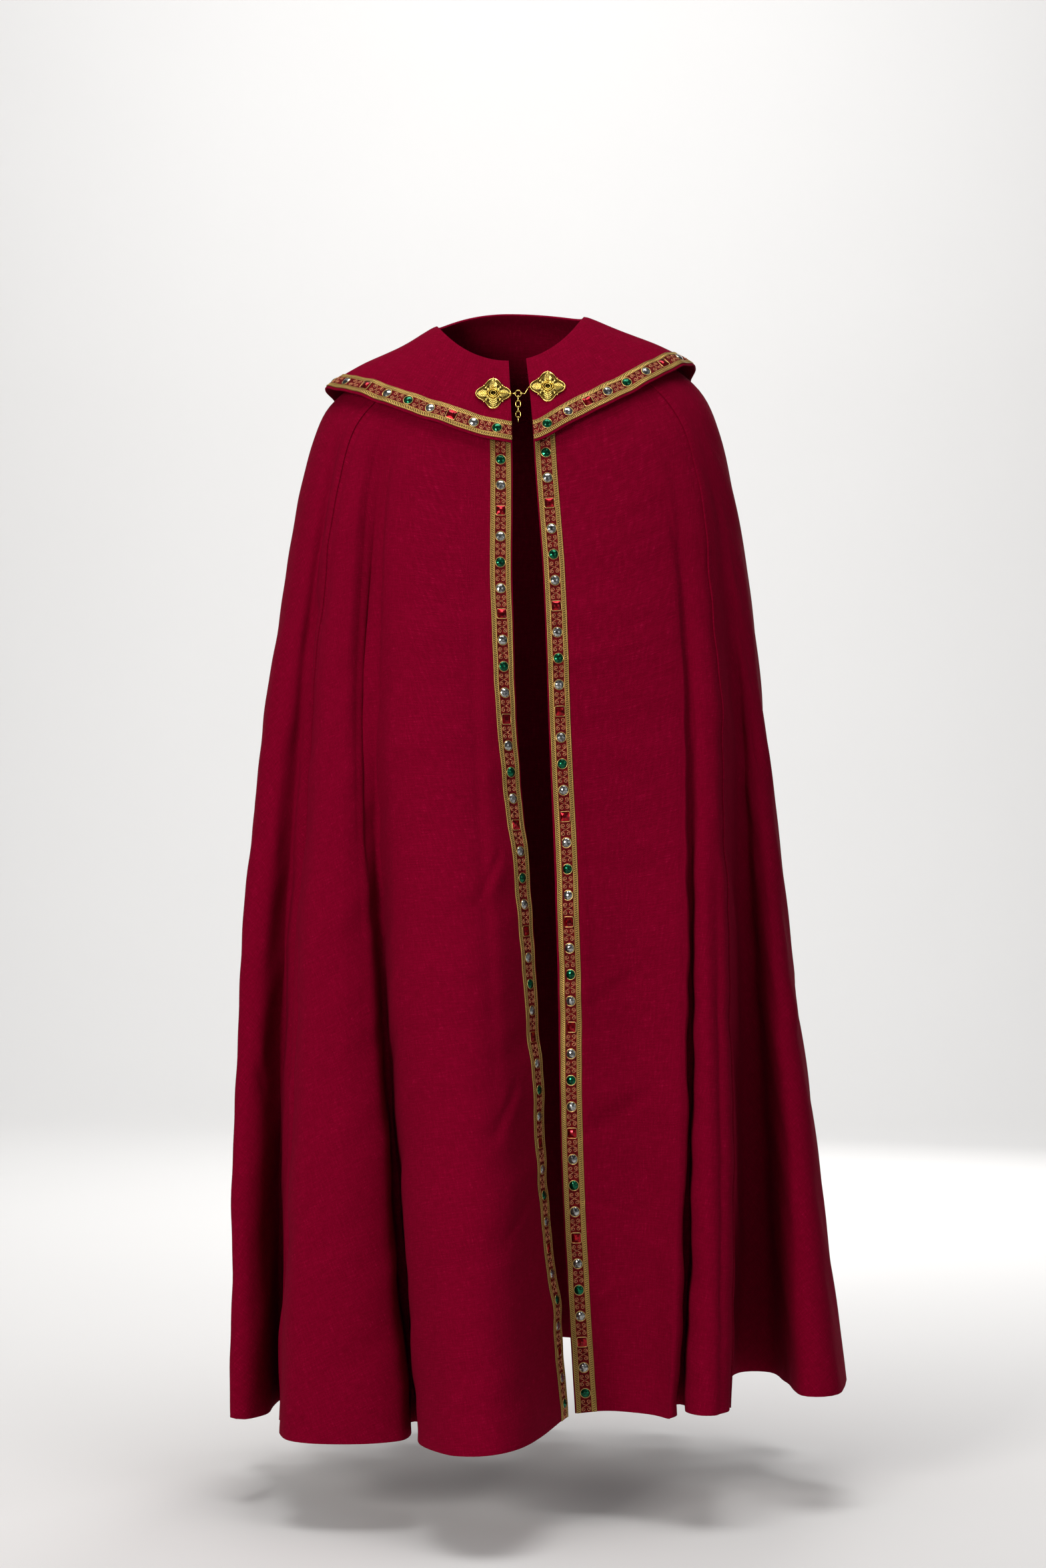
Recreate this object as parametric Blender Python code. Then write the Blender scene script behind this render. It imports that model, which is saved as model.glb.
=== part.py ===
"""A cope: a long half-circle cloak worn open at the front, with a cape over its shoulders, galloon set with
stones along its edges, and a two-part clasp with a short chain.

Metres, +Z up. The garment faces -Y, and right and left are the wearer's, so the wearer's left is +X.
The origin is the middle of the neck opening, level with its sides. The floor is at about z = -1.5.

Every cloth piece is a wall over one surface, cloak_point(place, level). place is the angle in degrees round
the body, from 0 at the front centre by the wearer's left (90) and the back (180) to the wearer's right (270),
and on to the right front edge, a little past 360. level runs from 0 at the neck to 1 at the hem.
"""

import math

import bmesh
import bpy
import numpy as np
from mathutils import Vector

# Cloth and trim
CLOTH = 0.0020
SEAM_GAP = 0.0003
GALLOON_WIDTH = 0.026
GALLOON_THICKNESS = 0.0011
GALLOON_LIFT = 0.0005
FRONT_MARGIN = 0.0015
CAPE_MARGIN = 0.0030

# Stones, one to each length of galloon
STONES_PER_FRONT = 41
FIRST_STONE = 3
STONE_HEIGHT = 0.0026
STONE_TAPER = 0.72
STONE_INSET = 0.004
ROUND_STONE_RADIUS = 0.0064
SQUARE_STONE_HALF = 0.0056
SQUARE_EVERY = 4

# The side seams, in degrees round the hem. A panel has a column on each fold line that lies further than a margin
# from its sides, and between these a column for about each step of cloth. The first rows are closer.
LEFT_SEAM = 40.0
RIGHT_SEAM = 308.0
COLUMN_STEP = 0.047
LINE_MARGIN = 1.2
CLOSE_ROWS = 5

# The cape over the shoulders: the level of its lower edge round the body and how far that edge stands off the
# cloak, how far its neck edge does, and its columns, one for each stone
CAPE_EDGE = {
    # place, level, stand
    "left_corner": (8, 0.099, 0.009),
    "left_breast": (24, 0.086, 0.008),
    "left_shoulder_front": (50, 0.087, 0.010),
    "left_shoulder": (84, 0.101, 0.019),
    "left_arm_back": (103, 0.108, 0.010),
    "left_blade": (130, 0.124, 0.007),
    "back": (180, 0.146, 0.008),
    "right_blade": (230, 0.128, 0.007),
    "right_arm_back": (258, 0.113, 0.009),
    "right_shoulder": (279, 0.111, 0.020),
    "right_shoulder_front": (308, 0.094, 0.011),
    "right_breast": (336, 0.088, 0.008),
    "right_corner": (361, 0.099, 0.009),
}
CAPE_NECK_STAND = 0.0007
CAPE_SPREAD = 0.7
CAPE_COLUMNS = 37
CAPE_ROWS = 5

# The clasp, called a morse: two plaques on the cape's front edges, and a ring, a hook, a loop and a chain
PLAQUE_RADIUS = 0.0197
PLAQUE_LOBE = 0.0032
PLAQUE_SIDES = 24
PLAQUE_CLEARANCE = 0.0003
PLAQUE_RIGHT_AT = (-0.0189, -0.104)
PLAQUE_LEFT_AT = (0.0484, -0.096)
PLAQUE_STEP = 0.0002
PLAQUE_PROFILE = (
    # share of the outline, height
    (1.00, 0.0014),
    (0.95, 0.0024),
    (0.88, 0.0024),
    (0.84, 0.0015),
    (0.66, 0.0018),
    (0.50, 0.0028),
    (0.40, 0.0020),
    (0.34, 0.0040),
    (0.27, 0.0040),
    (0.22, 0.0026),
    (0.10, 0.0038),
)
WIRE = 0.0007
WIRE_CLEARANCE = 0.0004
RING_RADIUS = 0.0042
LINK_HALF_LENGTH = 0.00425
LINK_HALF_WIDTH = 0.00325
LINKS = 5
OVAL_POINTS = 12
RING_X = 0.0130
LOOP_HALF_WIDTH = 0.0020
HOOK_SHANK = 0.0062
HOOK_TIP = 0.0046
HOOK_POINTS = 7
HOOK_DIP = 0.75
HOOK_CLEARANCE = 0.0006

# The cloak's rings, from the neck down to the hem. half_right and half_left are its reach to either side,
# front_right, front_left and back its depths, the four z values its height at the front, the sides and the
# back, and edge_right and edge_left how far each front edge lies from the centre.
RING_COLUMNS = (
    "level", "half_right", "half_left", "front_right", "front_left", "back",
    "z_front", "z_right", "z_left", "z_back", "edge_right", "edge_left",
)
RINGS = {
    "neck": (0.00, 0.090, 0.096, 0.083, 0.083, 0.062, -0.060, -0.006, 0.006, 0.020, 0.001, 0.023),
    "collarbone": (0.04, 0.130, 0.138, 0.104, 0.104, 0.092, -0.098, -0.039, -0.021, 0.000, 0.003, 0.027),
    "shoulder": (0.08, 0.184, 0.200, 0.126, 0.126, 0.120, -0.146, -0.071, -0.053, -0.045, 0.005, 0.031),
    "shoulder_tip": (0.12, 0.228, 0.245, 0.142, 0.140, 0.142, -0.200, -0.107, -0.091, -0.100, 0.006, 0.034),
    "upper_arm": (0.16, 0.249, 0.269, 0.154, 0.149, 0.156, -0.255, -0.150, -0.140, -0.158, 0.006, 0.038),
    "chest": (0.22, 0.268, 0.288, 0.172, 0.160, 0.172, -0.338, -0.228, -0.224, -0.242, 0.006, 0.044),
    "elbow": (0.36, 0.303, 0.318, 0.207, 0.180, 0.206, -0.524, -0.428, -0.428, -0.440, 0.013, 0.051),
    "hip": (0.56, 0.338, 0.348, 0.253, 0.205, 0.256, -0.790, -0.724, -0.724, -0.730, 0.036, 0.060),
    "knee": (0.78, 0.356, 0.386, 0.300, 0.222, 0.306, -1.083, -1.048, -1.048, -1.052, 0.054, 0.067),
    "hem": (1.00, 0.358, 0.427, 0.335, 0.235, 0.350, -1.375, -1.372, -1.372, -1.370, 0.083, 0.083),
}
FULLNESS = 0.14
HEM_TILT = 0.036

# Crests and valleys, in order from the left front edge round the back to the right one. Each grows from the
# level start. Its line runs down the cloth through place_top, place_mid and place_hem, at the start, halfway and
# at the hem, where it stands at (hem_x, hem_y).
FOLDS = {
    # start, place_top, place_mid, place_hem, hem_x, hem_y
    "left_front_hollow": (0.45, 15, 16, 17, 0.130, -0.165),
    "left_front_crest": (0.10, 36, 31, 23, 0.190, -0.225),
    "left_front_edge": (0.10, 43, 36, 26, 0.208, -0.211),
    "left_side_valley_near": (0.10, 45.6, 37.9, 28.7, 0.2065, -0.152),
    "left_side_valley_far": (0.10, 46.4, 38.6, 29.3, 0.2155, -0.150),
    "left_side_edge": (0.10, 49, 41, 32, 0.217, -0.197),
    "left_side_crest": (0.10, 52, 44, 34.5, 0.238, -0.225),
    "left_seam_crest": (0.10, 54.5, 48.5, 38.5, 0.267, -0.212),
    "left_arm_flank": (0.12, 57.5, 54.5, 44, 0.276, -0.080),
    "left_arm_back": (0.12, 60, 58.5, 49.5, 0.296, 0.035),
    "left_arm_valley": (0.12, 62.5, 62.5, 54.5, 0.340, 0.040),
    "left_arm_edge": (0.12, 65, 68, 61, 0.354, -0.030),
    "left_arm_crest_near": (0.12, 69, 75, 65, 0.366, -0.115),
    "left_arm_crest_far": (0.12, 72.5, 78.3, 68, 0.391, -0.126),
    "left_arm_out": (0.12, 76, 81, 72, 0.413, -0.101),
    "left_side_out": (0.12, 86, 88, 80, 0.429, 0.010),
    "left_back_valley": (0.25, 102, 102, 101, 0.348, 0.122),
    "left_back_crest_near": (0.28, 113, 113, 113, 0.384, 0.204),
    "left_back_crest_far": (0.30, 121, 121, 121, 0.348, 0.262),
    "left_blade_valley": (0.26, 133, 133.5, 134, 0.258, 0.222),
    "left_blade_crest_near": (0.34, 145, 145, 145, 0.244, 0.318),
    "left_blade_crest_far": (0.32, 152, 152, 152, 0.186, 0.344),
    "back_left_valley": (0.30, 163, 163, 163, 0.116, 0.268),
    "back_crest_near": (0.36, 173, 173, 173, 0.082, 0.358),
    "back_crest_far": (0.36, 180, 180, 180, 0.022, 0.366),
    "back_right_valley": (0.25, 191, 191, 191, -0.030, 0.240),
    "right_blade_crest_near": (0.33, 201, 201, 201, -0.092, 0.346),
    "right_blade_crest_far": (0.33, 208, 208, 208, -0.150, 0.342),
    "right_blade_valley": (0.28, 219, 219, 219, -0.182, 0.248),
    "right_back_crest_near": (0.28, 229, 229, 229, -0.250, 0.302),
    "right_back_crest_far": (0.30, 236, 236, 236, -0.296, 0.250),
    "right_back_valley": (0.24, 247, 247, 247, -0.262, 0.166),
    "right_elbow_crest": (0.28, 257, 257, 257, -0.350, 0.142),
    "right_elbow_valley": (0.24, 267, 267, 267, -0.318, 0.034),
    "right_arm_edge": (0.10, 290, 284, 278, -0.348, -0.062),
    "right_arm_crest": (0.10, 296, 288.5, 283, -0.330, -0.078),
    "right_arm_slope": (0.10, 300, 295, 288, -0.309, -0.045),
    "right_arm_valley_near": (0.10, 303.4, 304.9, 299.4, -0.298, 0.048),
    "right_arm_valley_far": (0.10, 304.6, 306.1, 300.6, -0.288, 0.046),
    "right_side_out": (0.10, 308, 315.5, 313, -0.282, -0.150),
    "right_side_near": (0.10, 311, 320.5, 319, -0.264, -0.205),
    "right_side_flat": (0.10, 314, 324.5, 325.5, -0.197, -0.228),
    "right_side_crest": (0.10, 317, 327.5, 332.5, -0.132, -0.218),
    "right_side_edge": (0.10, 320, 330.5, 335.5, -0.119, -0.190),
    "right_side_valley_near": (0.10, 323.5, 333.5, 339.5, -0.121, -0.122),
    "right_side_valley_far": (0.10, 324.5, 334.5, 340.5, -0.112, -0.120),
    "right_front_rise": (0.10, 330, 339.5, 346.5, -0.104, -0.262),
    "right_front_crest": (0.12, 338, 346, 352, -0.058, -0.345),
    "right_front_turn": (0.20, 353, 357.5, 362, 0.012, -0.335),
}
FOLD_SOFTNESS = 0.5

# Where a front panel's columns are pushed aside to make room for the galloon, and from here on they aren't
GALLOON_ROOM = {"left": "left_front_crest", "right": "right_front_crest"}

# The front edges turn inward toward the hem: start, hem_x, hem_y
LEFT_EDGE = (0.30, 0.083, -0.155)
RIGHT_EDGE = (0.14, 0.076, -0.175)

# How finely lengths and directions are measured on the surface, and how meshes are finished
SAMPLES = 400
SEARCH_TURN = 25.0
TURN_STEP = 0.2
LEVEL_STEP = 0.002
SEAT_SAMPLES = 8
MERGE = 0.00001
CRISP_ANGLE = 40.0


def smooth(knots, values, at):
    """A smooth curve through values at knots, both with one row for each knot, read at the places at."""
    last = len(knots) - 2
    row = np.clip((at >= knots).sum(axis=0) - 1, 0, last)[None]
    slopes = np.empty_like(values)
    slopes[1:-1] = (values[2:] - values[:-2]) / (knots[2:] - knots[:-2])
    slopes[0] = (values[1] - values[0]) / (knots[1] - knots[0])
    slopes[-1] = (values[-1] - values[-2]) / (knots[-1] - knots[-2])
    near, far = np.take_along_axis(knots, row, 0)[0], np.take_along_axis(knots, row + 1, 0)[0]
    span = far - near
    t = np.clip((at - near) / span, 0, 1)
    return (
        (1 + 2 * t) * (1 - t) ** 2 * np.take_along_axis(values, row, 0)[0]
        + t * (1 - t) ** 2 * span * np.take_along_axis(slopes, row, 0)[0]
        + t**2 * (3 - 2 * t) * np.take_along_axis(values, row + 1, 0)[0]
        + t**2 * (t - 1) * span * np.take_along_axis(slopes, row + 1, 0)[0]
    )


def ring_columns(level):
    """The ring table's columns at any level, on smooth curves through its rows."""
    rows = np.array(list(RINGS.values()))
    shape = (len(rows),) + level.shape
    columns = {}
    for number, name in enumerate(RING_COLUMNS):
        knots = np.broadcast_to(rows[:, 0].reshape(-1, *[1] * level.ndim), shape)
        values = np.broadcast_to(rows[:, number].reshape(-1, *[1] * level.ndim), shape)
        columns[name] = smooth(knots, values, level)
    return columns


def ring_point(place, ring):
    """A point on a ring, with no folds."""
    angle = np.radians(place)
    sine, cosine = np.sin(angle), np.cos(angle)
    left = place < 180
    half = np.where(left, ring["half_left"], ring["half_right"])
    front = np.where(left, ring["front_left"], ring["front_right"])
    depth = np.where(cosine > 0, front, ring["back"])
    x = half * sine * (1 + FULLNESS * cosine**2)
    y = -depth * cosine * (1 + FULLNESS * sine**2)
    z_middle = np.where(cosine > 0, ring["z_front"], ring["z_back"])
    z_side = np.where(left, ring["z_left"], ring["z_right"])
    z = z_middle + (z_side - z_middle) * sine**2 + HEM_TILT / 2 * sine * (1 + cosine**2) * ring["level"]
    return np.stack([x, y, z], axis=-1)


def growth(start, level):
    """How much of a fold has grown at a level, from none at its start to all of it at the hem."""
    grown = np.clip((level - start) / (1 - start), 0, 1)
    return grown**2 / (grown + FOLD_SOFTNESS) * (1 + FOLD_SOFTNESS)


def fold_places(level):
    """Where the front edges and the folds between them lie at a level."""
    left_edge, right_edge = front_edges(level)
    places = [left_edge]
    for start, place_top, place_mid, place_hem, _, _ in FOLDS.values():
        grown = np.clip((level - start) / (1 - start), 0, 1)
        left = 1 - grown
        shares = np.array([left * (left - grown), 4 * grown * left, grown * (grown - left)])
        places.append(place_top * shares[0] + place_mid * shares[1] + place_hem * shares[2])
    return np.array(places + [right_edge])


def cloak_point(place, level):
    """A point on the cloak's outer surface."""
    place, level = np.broadcast_arrays(np.asarray(place, float), np.asarray(level, float))
    hem_level = np.array(1.0)
    feet = ring_point(fold_places(hem_level), ring_columns(hem_level))
    folds = [(start, x, y) for start, _, _, _, x, y in FOLDS.values()]
    along_x, along_y = [], []
    for (start, x, y), foot in zip([LEFT_EDGE, *folds, RIGHT_EDGE], feet):
        along_x.append(growth(start, level) * (x - foot[0]))
        along_y.append(growth(start, level) * (y - foot[1]))
    knots = fold_places(level)
    point = ring_point(place, ring_columns(level))
    point[..., 0] += smooth(knots, np.array(along_x), place)
    point[..., 1] += smooth(knots, np.array(along_y), place)
    return point


def front_edges(level):
    """The places of the left and the right front edge."""
    ring = ring_columns(np.asarray(level, float))
    full = 1 + FULLNESS
    left = np.degrees(np.arcsin(ring["edge_left"] / (full * ring["half_left"])))
    right = 360 + np.degrees(np.arcsin(ring["edge_right"] / (full * ring["half_right"])))
    return left, right


def cloth_point(place, level, lift):
    """A point of the cloak's surface moved out from it by lift."""
    place, level = np.broadcast_arrays(np.asarray(place, float), np.asarray(level, float))
    across = cloak_point(place + TURN_STEP, level) - cloak_point(place - TURN_STEP, level)
    down = cloak_point(place, level + LEVEL_STEP) - cloak_point(place, np.maximum(level - LEVEL_STEP, 0))
    outward = np.cross(down, across)
    outward /= np.linalg.norm(outward, axis=-1, keepdims=True)
    return cloak_point(place, level) + np.asarray(lift)[..., None] * outward


def lengths_along(points):
    """How far along a row of points each of them lies."""
    steps = np.linalg.norm(np.diff(points, axis=0), axis=1)
    return np.concatenate([[0.0], np.cumsum(steps)])


def place_at(start, towards, distance, level):
    """The place a distance along the cloth from start, in the direction of towards."""
    places = np.linspace(start, towards, SAMPLES)
    return float(np.interp(distance, lengths_along(cloak_point(places, level)), places))


def edge_levels(count):
    """Levels that part the left front edge into equal lengths, from the neck to the hem."""
    levels = np.linspace(0, 1, SAMPLES)
    lengths = lengths_along(cloak_point(front_edges(levels)[0], levels))
    return np.interp(np.linspace(0, lengths[-1], count + 1), lengths, levels)


def even_shares(first, last, count, level):
    """Shares from 0 to 1 that part a stretch of the cloth at one level into equal lengths."""
    shares = np.linspace(0, 1, SAMPLES)
    lengths = lengths_along(cloak_point(first + (last - first) * shares, level))
    return np.interp(np.linspace(0, lengths[-1], count + 1), lengths, shares)


def panel_places(threads, side, level):
    """The places of a panel's columns at a level. Each column follows its thread, its place at the hem.

    A front panel's columns start with its edge and its galloon's two edges, at their true widths.
    """
    places = np.interp(threads, fold_places(1.0), fold_places(level))
    first, last = places[0], places[-1]
    half_gap = SEAM_GAP / 2
    if side == "back":
        places[0] = place_at(first, first + SEARCH_TURN, half_gap, level)
        places[-1] = place_at(last, last - SEARCH_TURN, half_gap, level)
        return places
    places[-1] = place_at(last, first, half_gap, level)
    turn = math.copysign(SEARCH_TURN, last - first)
    stops = (0, FRONT_MARGIN, FRONT_MARGIN + GALLOON_WIDTH)
    edge = front_edges(level)[0 if side == "left" else 1]
    edge_places = [place_at(edge, edge + turn, stop, level) for stop in stops]
    held = fold_places(level)[1 + list(FOLDS).index(GALLOON_ROOM[side])]
    fading = np.clip((held - places) / (held - first), 0, 1)
    places += (edge_places[-1] - first) * fading
    return np.concatenate([edge_places[:-1], places])


def panel_threads(side):
    """The places at the hem of a panel's columns: its fold lines, with even steps between them."""
    left_edge, right_edge = front_edges(1.0)
    galloon_end = FRONT_MARGIN + GALLOON_WIDTH
    first, last = {
        "left": (place_at(left_edge, left_edge + SEARCH_TURN, galloon_end, 1.0), LEFT_SEAM),
        "right": (RIGHT_SEAM, place_at(right_edge, right_edge - SEARCH_TURN, galloon_end, 1.0)),
        "back": (LEFT_SEAM, RIGHT_SEAM),
    }[side]
    lines = fold_places(np.array(1.0))
    inside = lines[(lines > first + LINE_MARGIN) & (lines < last - LINE_MARGIN)]
    stops = [first, *inside, last]
    threads = [first]
    for near, far in zip(stops, stops[1:]):
        length = lengths_along(cloak_point(np.linspace(near, far, SAMPLES), 1.0))[-1]
        count = max(1, round(length / COLUMN_STEP))
        threads.extend(near + (far - near) * even_shares(near, far, count, 1.0)[1:])
    return np.array(threads[::-1] if side == "right" else threads)


def panel_grid(side, levels, lift):
    """One panel's points, a row for each level."""
    threads = panel_threads(side)
    return np.array([cloth_point(panel_places(threads, side, level), level, lift) for level in levels])


def cape_stops():
    """Where the cape's points lie: their places, their levels and how far they stand off the cloak.

    The rows run from the neck to the lower edge, and the last two but one bound its galloon.
    """
    edge_places, levels_there, stands_there = np.array(list(CAPE_EDGE.values()), float).T
    front_level = levels_there[0]
    shares = even_shares(*front_edges(front_level), CAPE_COLUMNS, front_level)
    down = np.linspace(0, 1, SAMPLES)
    first, last = front_edges(front_level * down)
    columns = []
    for share in shares:
        place = first + (last - first) * share
        edge_level = smooth(edge_places, levels_there, place[-1])
        edge_stand = smooth(edge_places, stands_there, place[-1])
        stand = CAPE_NECK_STAND + (edge_stand - CAPE_NECK_STAND) * down**CAPE_SPREAD
        lengths = lengths_along(cloth_point(place, edge_level * down, stand))
        galloon_end = lengths[-1] - CAPE_MARGIN
        stops = np.append(
            np.linspace(0, galloon_end - GALLOON_WIDTH, CAPE_ROWS), (galloon_end, lengths[-1])
        )
        reached = np.interp(stops, lengths, down)
        columns.append((np.interp(reached, down, place), edge_level * reached, np.interp(reached, down, stand)))
    return np.array(columns).transpose(1, 2, 0)


def moved_out(outer, inner, lift):
    """The outer points of a wall, moved further out by lift."""
    outward = outer - inner
    return outer + lift * outward / np.linalg.norm(outward, axis=-1, keepdims=True)


def material(name, colour, roughness, metallic=0.0):
    """A Principled material."""
    made = bpy.data.materials.new(name)
    made.use_nodes = True
    shader = made.node_tree.nodes["Principled BSDF"]
    shader.inputs["Base Color"].default_value = (*colour, 1.0)
    shader.inputs["Roughness"].default_value = roughness
    shader.inputs["Metallic"].default_value = metallic
    return made


def add_object(name, mesh, finish, collection):
    """Puts a mesh into the scene as a named piece."""
    piece = bpy.data.objects.new(name, mesh)
    mesh.materials.append(finish)
    collection.objects.link(piece)
    return piece


def wall_bmesh(outer, inner):
    """A closed wall between two grids of points, and the faces of its outer side."""
    rows, columns = outer.shape[:2]
    mesh = bmesh.new()
    bmesh.ops.create_grid(mesh, x_segments=columns - 1, y_segments=rows - 1, size=1)
    mesh.verts.ensure_lookup_table()
    base = list(mesh.verts)
    faces = list(mesh.faces)
    made = bmesh.ops.extrude_face_region(mesh, geom=faces, use_keep_orig=True)["geom"]
    outside = [item for item in made if isinstance(item, bmesh.types.BMFace)]
    lifted = [item for item in made if isinstance(item, bmesh.types.BMVert)]
    spots = {tuple(round(value, 4) for value in vert.co[:2]): number for number, vert in enumerate(base)}
    for vert in lifted:
        number = spots[tuple(round(value, 4) for value in vert.co[:2])]
        vert.co = outer[number // columns, number % columns]
    for number, vert in enumerate(base):
        vert.co = inner[number // columns, number % columns]
    bmesh.ops.recalc_face_normals(mesh, faces=mesh.faces)
    mesh.normal_update()
    return mesh, outside


def finish_mesh(name, mesh):
    """Turns a bmesh into a mesh with smooth faces and crisp edges."""
    bmesh.ops.recalc_face_normals(mesh, faces=mesh.faces)
    data = bpy.data.meshes.new(name)
    mesh.to_mesh(data)
    mesh.free()
    data.shade_smooth()
    data.set_sharp_from_angle(angle=math.radians(CRISP_ANGLE))
    return data


def nearest(faces, centre):
    """The face whose middle lies nearest a point."""
    centre = Vector(centre)
    return min(faces, key=lambda face: (face.calc_center_median() - centre).length)


def split_under_galloon(outside, outer):
    """Halves a front panel's long faces under its galloon, so that panel and galloon bend alike."""
    centres = (outer[:-1, 1] + outer[1:, 1] + outer[:-1, 2] + outer[1:, 2]) / 4
    for centre in centres[CLOSE_ROWS:]:
        face = nearest(outside, centre)
        long_edges = sorted(face.edges, key=lambda edge: edge.calc_length())[-2:]
        ends = [bmesh.utils.edge_split(edge, edge.verts[0], 0.5)[1] for edge in long_edges]
        bmesh.utils.face_split(face, *ends)


def wall(name, outer, inner, finish, collection, galloon_under=False):
    """A cloth piece: a closed wall between two grids of points."""
    mesh, outside = wall_bmesh(outer, inner)
    if galloon_under:
        split_under_galloon(outside, outer)
    return add_object(name, finish_mesh(name, mesh), finish, collection)


def raise_stone(mesh, face, square):
    """Raises one stone on a length of galloon: a low flat-topped dome, round or square."""
    centre = face.calc_center_median()
    outward = face.normal.copy()
    along = (face.verts[1].co - face.verts[0].co).normalized()
    across = outward.cross(along).normalized()
    bmesh.ops.inset_individual(mesh, faces=[face], thickness=STONE_INSET)
    if not square:
        bmesh.ops.subdivide_edges(mesh, edges=list(face.edges), cuts=1)
    corners = list(face.verts)
    step = 2 * math.pi / len(corners)
    toward = corners[0].co - centre
    angle = math.atan2(toward.dot(across), toward.dot(along)) / step
    first = math.floor(angle) + 0.5 if square else round(angle)
    radius = SQUARE_STONE_HALF * math.sqrt(2) if square else ROUND_STONE_RADIUS
    for number, vert in enumerate(corners):
        turned = (first + number) * step
        vert.co = centre + radius * (math.cos(turned) * along + math.sin(turned) * across)
    raised = bmesh.ops.extrude_discrete_faces(mesh, faces=[face])["faces"][0]
    for vert in raised.verts:
        vert.co = centre + STONE_TAPER * (vert.co - centre) + STONE_HEIGHT * outward


def galloon(name, outer, inner, first_stone, finish, collection):
    """A band on two rows of a panel's points, one length for each stone, with stones from first_stone on."""
    under = moved_out(outer, inner, GALLOON_LIFT)
    over = moved_out(outer, inner, GALLOON_LIFT + GALLOON_THICKNESS)
    mesh, outside = wall_bmesh(over, under)
    centres = (over[:-1, 0] + over[1:, 0] + over[:-1, 1] + over[1:, 1]) / 4
    for number, centre in enumerate(centres[first_stone:]):
        face = nearest(outside, centre)
        outside.remove(face)
        raise_stone(mesh, face, number % SQUARE_EVERY == SQUARE_EVERY // 2)
    return add_object(name, finish_mesh(name, mesh), finish, collection)


def with_midpoints(grid, whole_rows):
    """A panel's rows with one put halfway between each pair after the first whole_rows."""
    rows = list(grid[: whole_rows + 1])
    for above, below in zip(grid[whole_rows:-1], grid[whole_rows + 1:]):
        rows += [(above + below) / 2, below]
    return np.array(rows)


def plaque_seat(x, z, outer, inner):
    """The point and the outward direction where a plaque lies on the cape's front, at x and z."""
    share = np.arange(SEAT_SAMPLES) / SEAT_SAMPLES
    down, across = np.meshgrid(share, share, indexing="ij")
    down, across = down[..., None, None, None], across[..., None, None, None]
    spots = []
    for grid in (outer, inner):
        above = grid[:-1, :-1] * (1 - across) + grid[:-1, 1:] * across
        below = grid[1:, :-1] * (1 - across) + grid[1:, 1:] * across
        spots.append((above * (1 - down) + below * down).reshape(-1, 3))
    points, behind = spots
    in_front = points[:, 1] < 0
    points, behind = points[in_front], behind[in_front]
    middle = np.argmin(np.hypot(points[:, 0] - x, points[:, 2] - z))
    outward = points[middle] - behind[middle]
    outward /= np.linalg.norm(outward)
    offsets = points - points[middle]
    below_plaque = np.linalg.norm(offsets, axis=1) < PLAQUE_RADIUS + PLAQUE_LOBE
    highest = (offsets[below_plaque] @ outward).max()
    return Vector(points[middle] + (highest + PLAQUE_CLEARANCE) * outward), Vector(outward)


def plaque(name, seat, outward, finish, collection):
    """A rounded diamond with a raised rim, a ring of petals and a boss, its plain back on its seat."""
    right = (Vector((1, 0, 0)) - outward.x * outward).normalized()
    up = outward.cross(right)
    mesh = bmesh.new()
    bmesh.ops.create_circle(mesh, cap_ends=True, segments=PLAQUE_SIDES, radius=1)
    face = mesh.faces[:][0]

    def shape(share, height):
        for number, vert in enumerate(face.verts):
            angle = 2 * math.pi * number / PLAQUE_SIDES
            radius = share * (PLAQUE_RADIUS + PLAQUE_LOBE * share**2 * math.cos(4 * angle))
            spread = math.cos(angle) * right + math.sin(angle) * up
            vert.co = seat + radius * spread + height * outward

    shape(1.0, 0.0)
    base = bmesh.ops.extrude_face_region(mesh, geom=[face], use_keep_orig=True)["geom"]
    face = next(item for item in base if isinstance(item, bmesh.types.BMFace))
    shape(*PLAQUE_PROFILE[0])
    for share, height in PLAQUE_PROFILE[1:]:
        bmesh.ops.inset_individual(mesh, faces=[face], thickness=PLAQUE_STEP)
        shape(share, height)
    return add_object(name, finish_mesh(name, mesh), finish, collection)


def wire(name, points, closed, finish, collection):
    """A round wire through a list of points, made a mesh with its ends closed."""
    curve = bpy.data.curves.new(name, "CURVE")
    curve.dimensions = "3D"
    curve.bevel_depth = WIRE
    curve.bevel_resolution = 1
    curve.use_fill_caps = not closed
    spline = curve.splines.new("POLY")
    spline.points.add(len(points) - 1)
    spline.points.foreach_set("co", [value for point in points for value in (*point, 1.0)])
    spline.use_cyclic_u = closed
    guide = bpy.data.objects.new(name + "_path", curve)
    collection.objects.link(guide)
    bpy.context.view_layer.update()
    data = bpy.data.meshes.new_from_object(guide.evaluated_get(bpy.context.evaluated_depsgraph_get()))
    bpy.data.objects.remove(guide)
    mesh = bmesh.new()
    mesh.from_mesh(data)
    bmesh.ops.remove_doubles(mesh, verts=mesh.verts, dist=MERGE)
    return add_object(name, finish_mesh(name, mesh), finish, collection)


def oval_reach(half_long, half_short):
    """How far the two end runs of an oval of straight wire lie from its middle."""
    return half_long - half_short * (1 - math.cos(math.pi / OVAL_POINTS))


def oval(half_long, half_short, long_axis, short_axis):
    """Points round an oval with straight sides."""
    straight = max(half_long - half_short, 0)
    points = []
    for number in range(OVAL_POINTS):
        angle = 2 * math.pi * (number + 0.5) / OVAL_POINTS
        along = half_short * math.cos(angle) + math.copysign(straight, math.cos(angle))
        points.append(along * long_axis + half_short * math.sin(angle) * short_axis)
    return points


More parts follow.
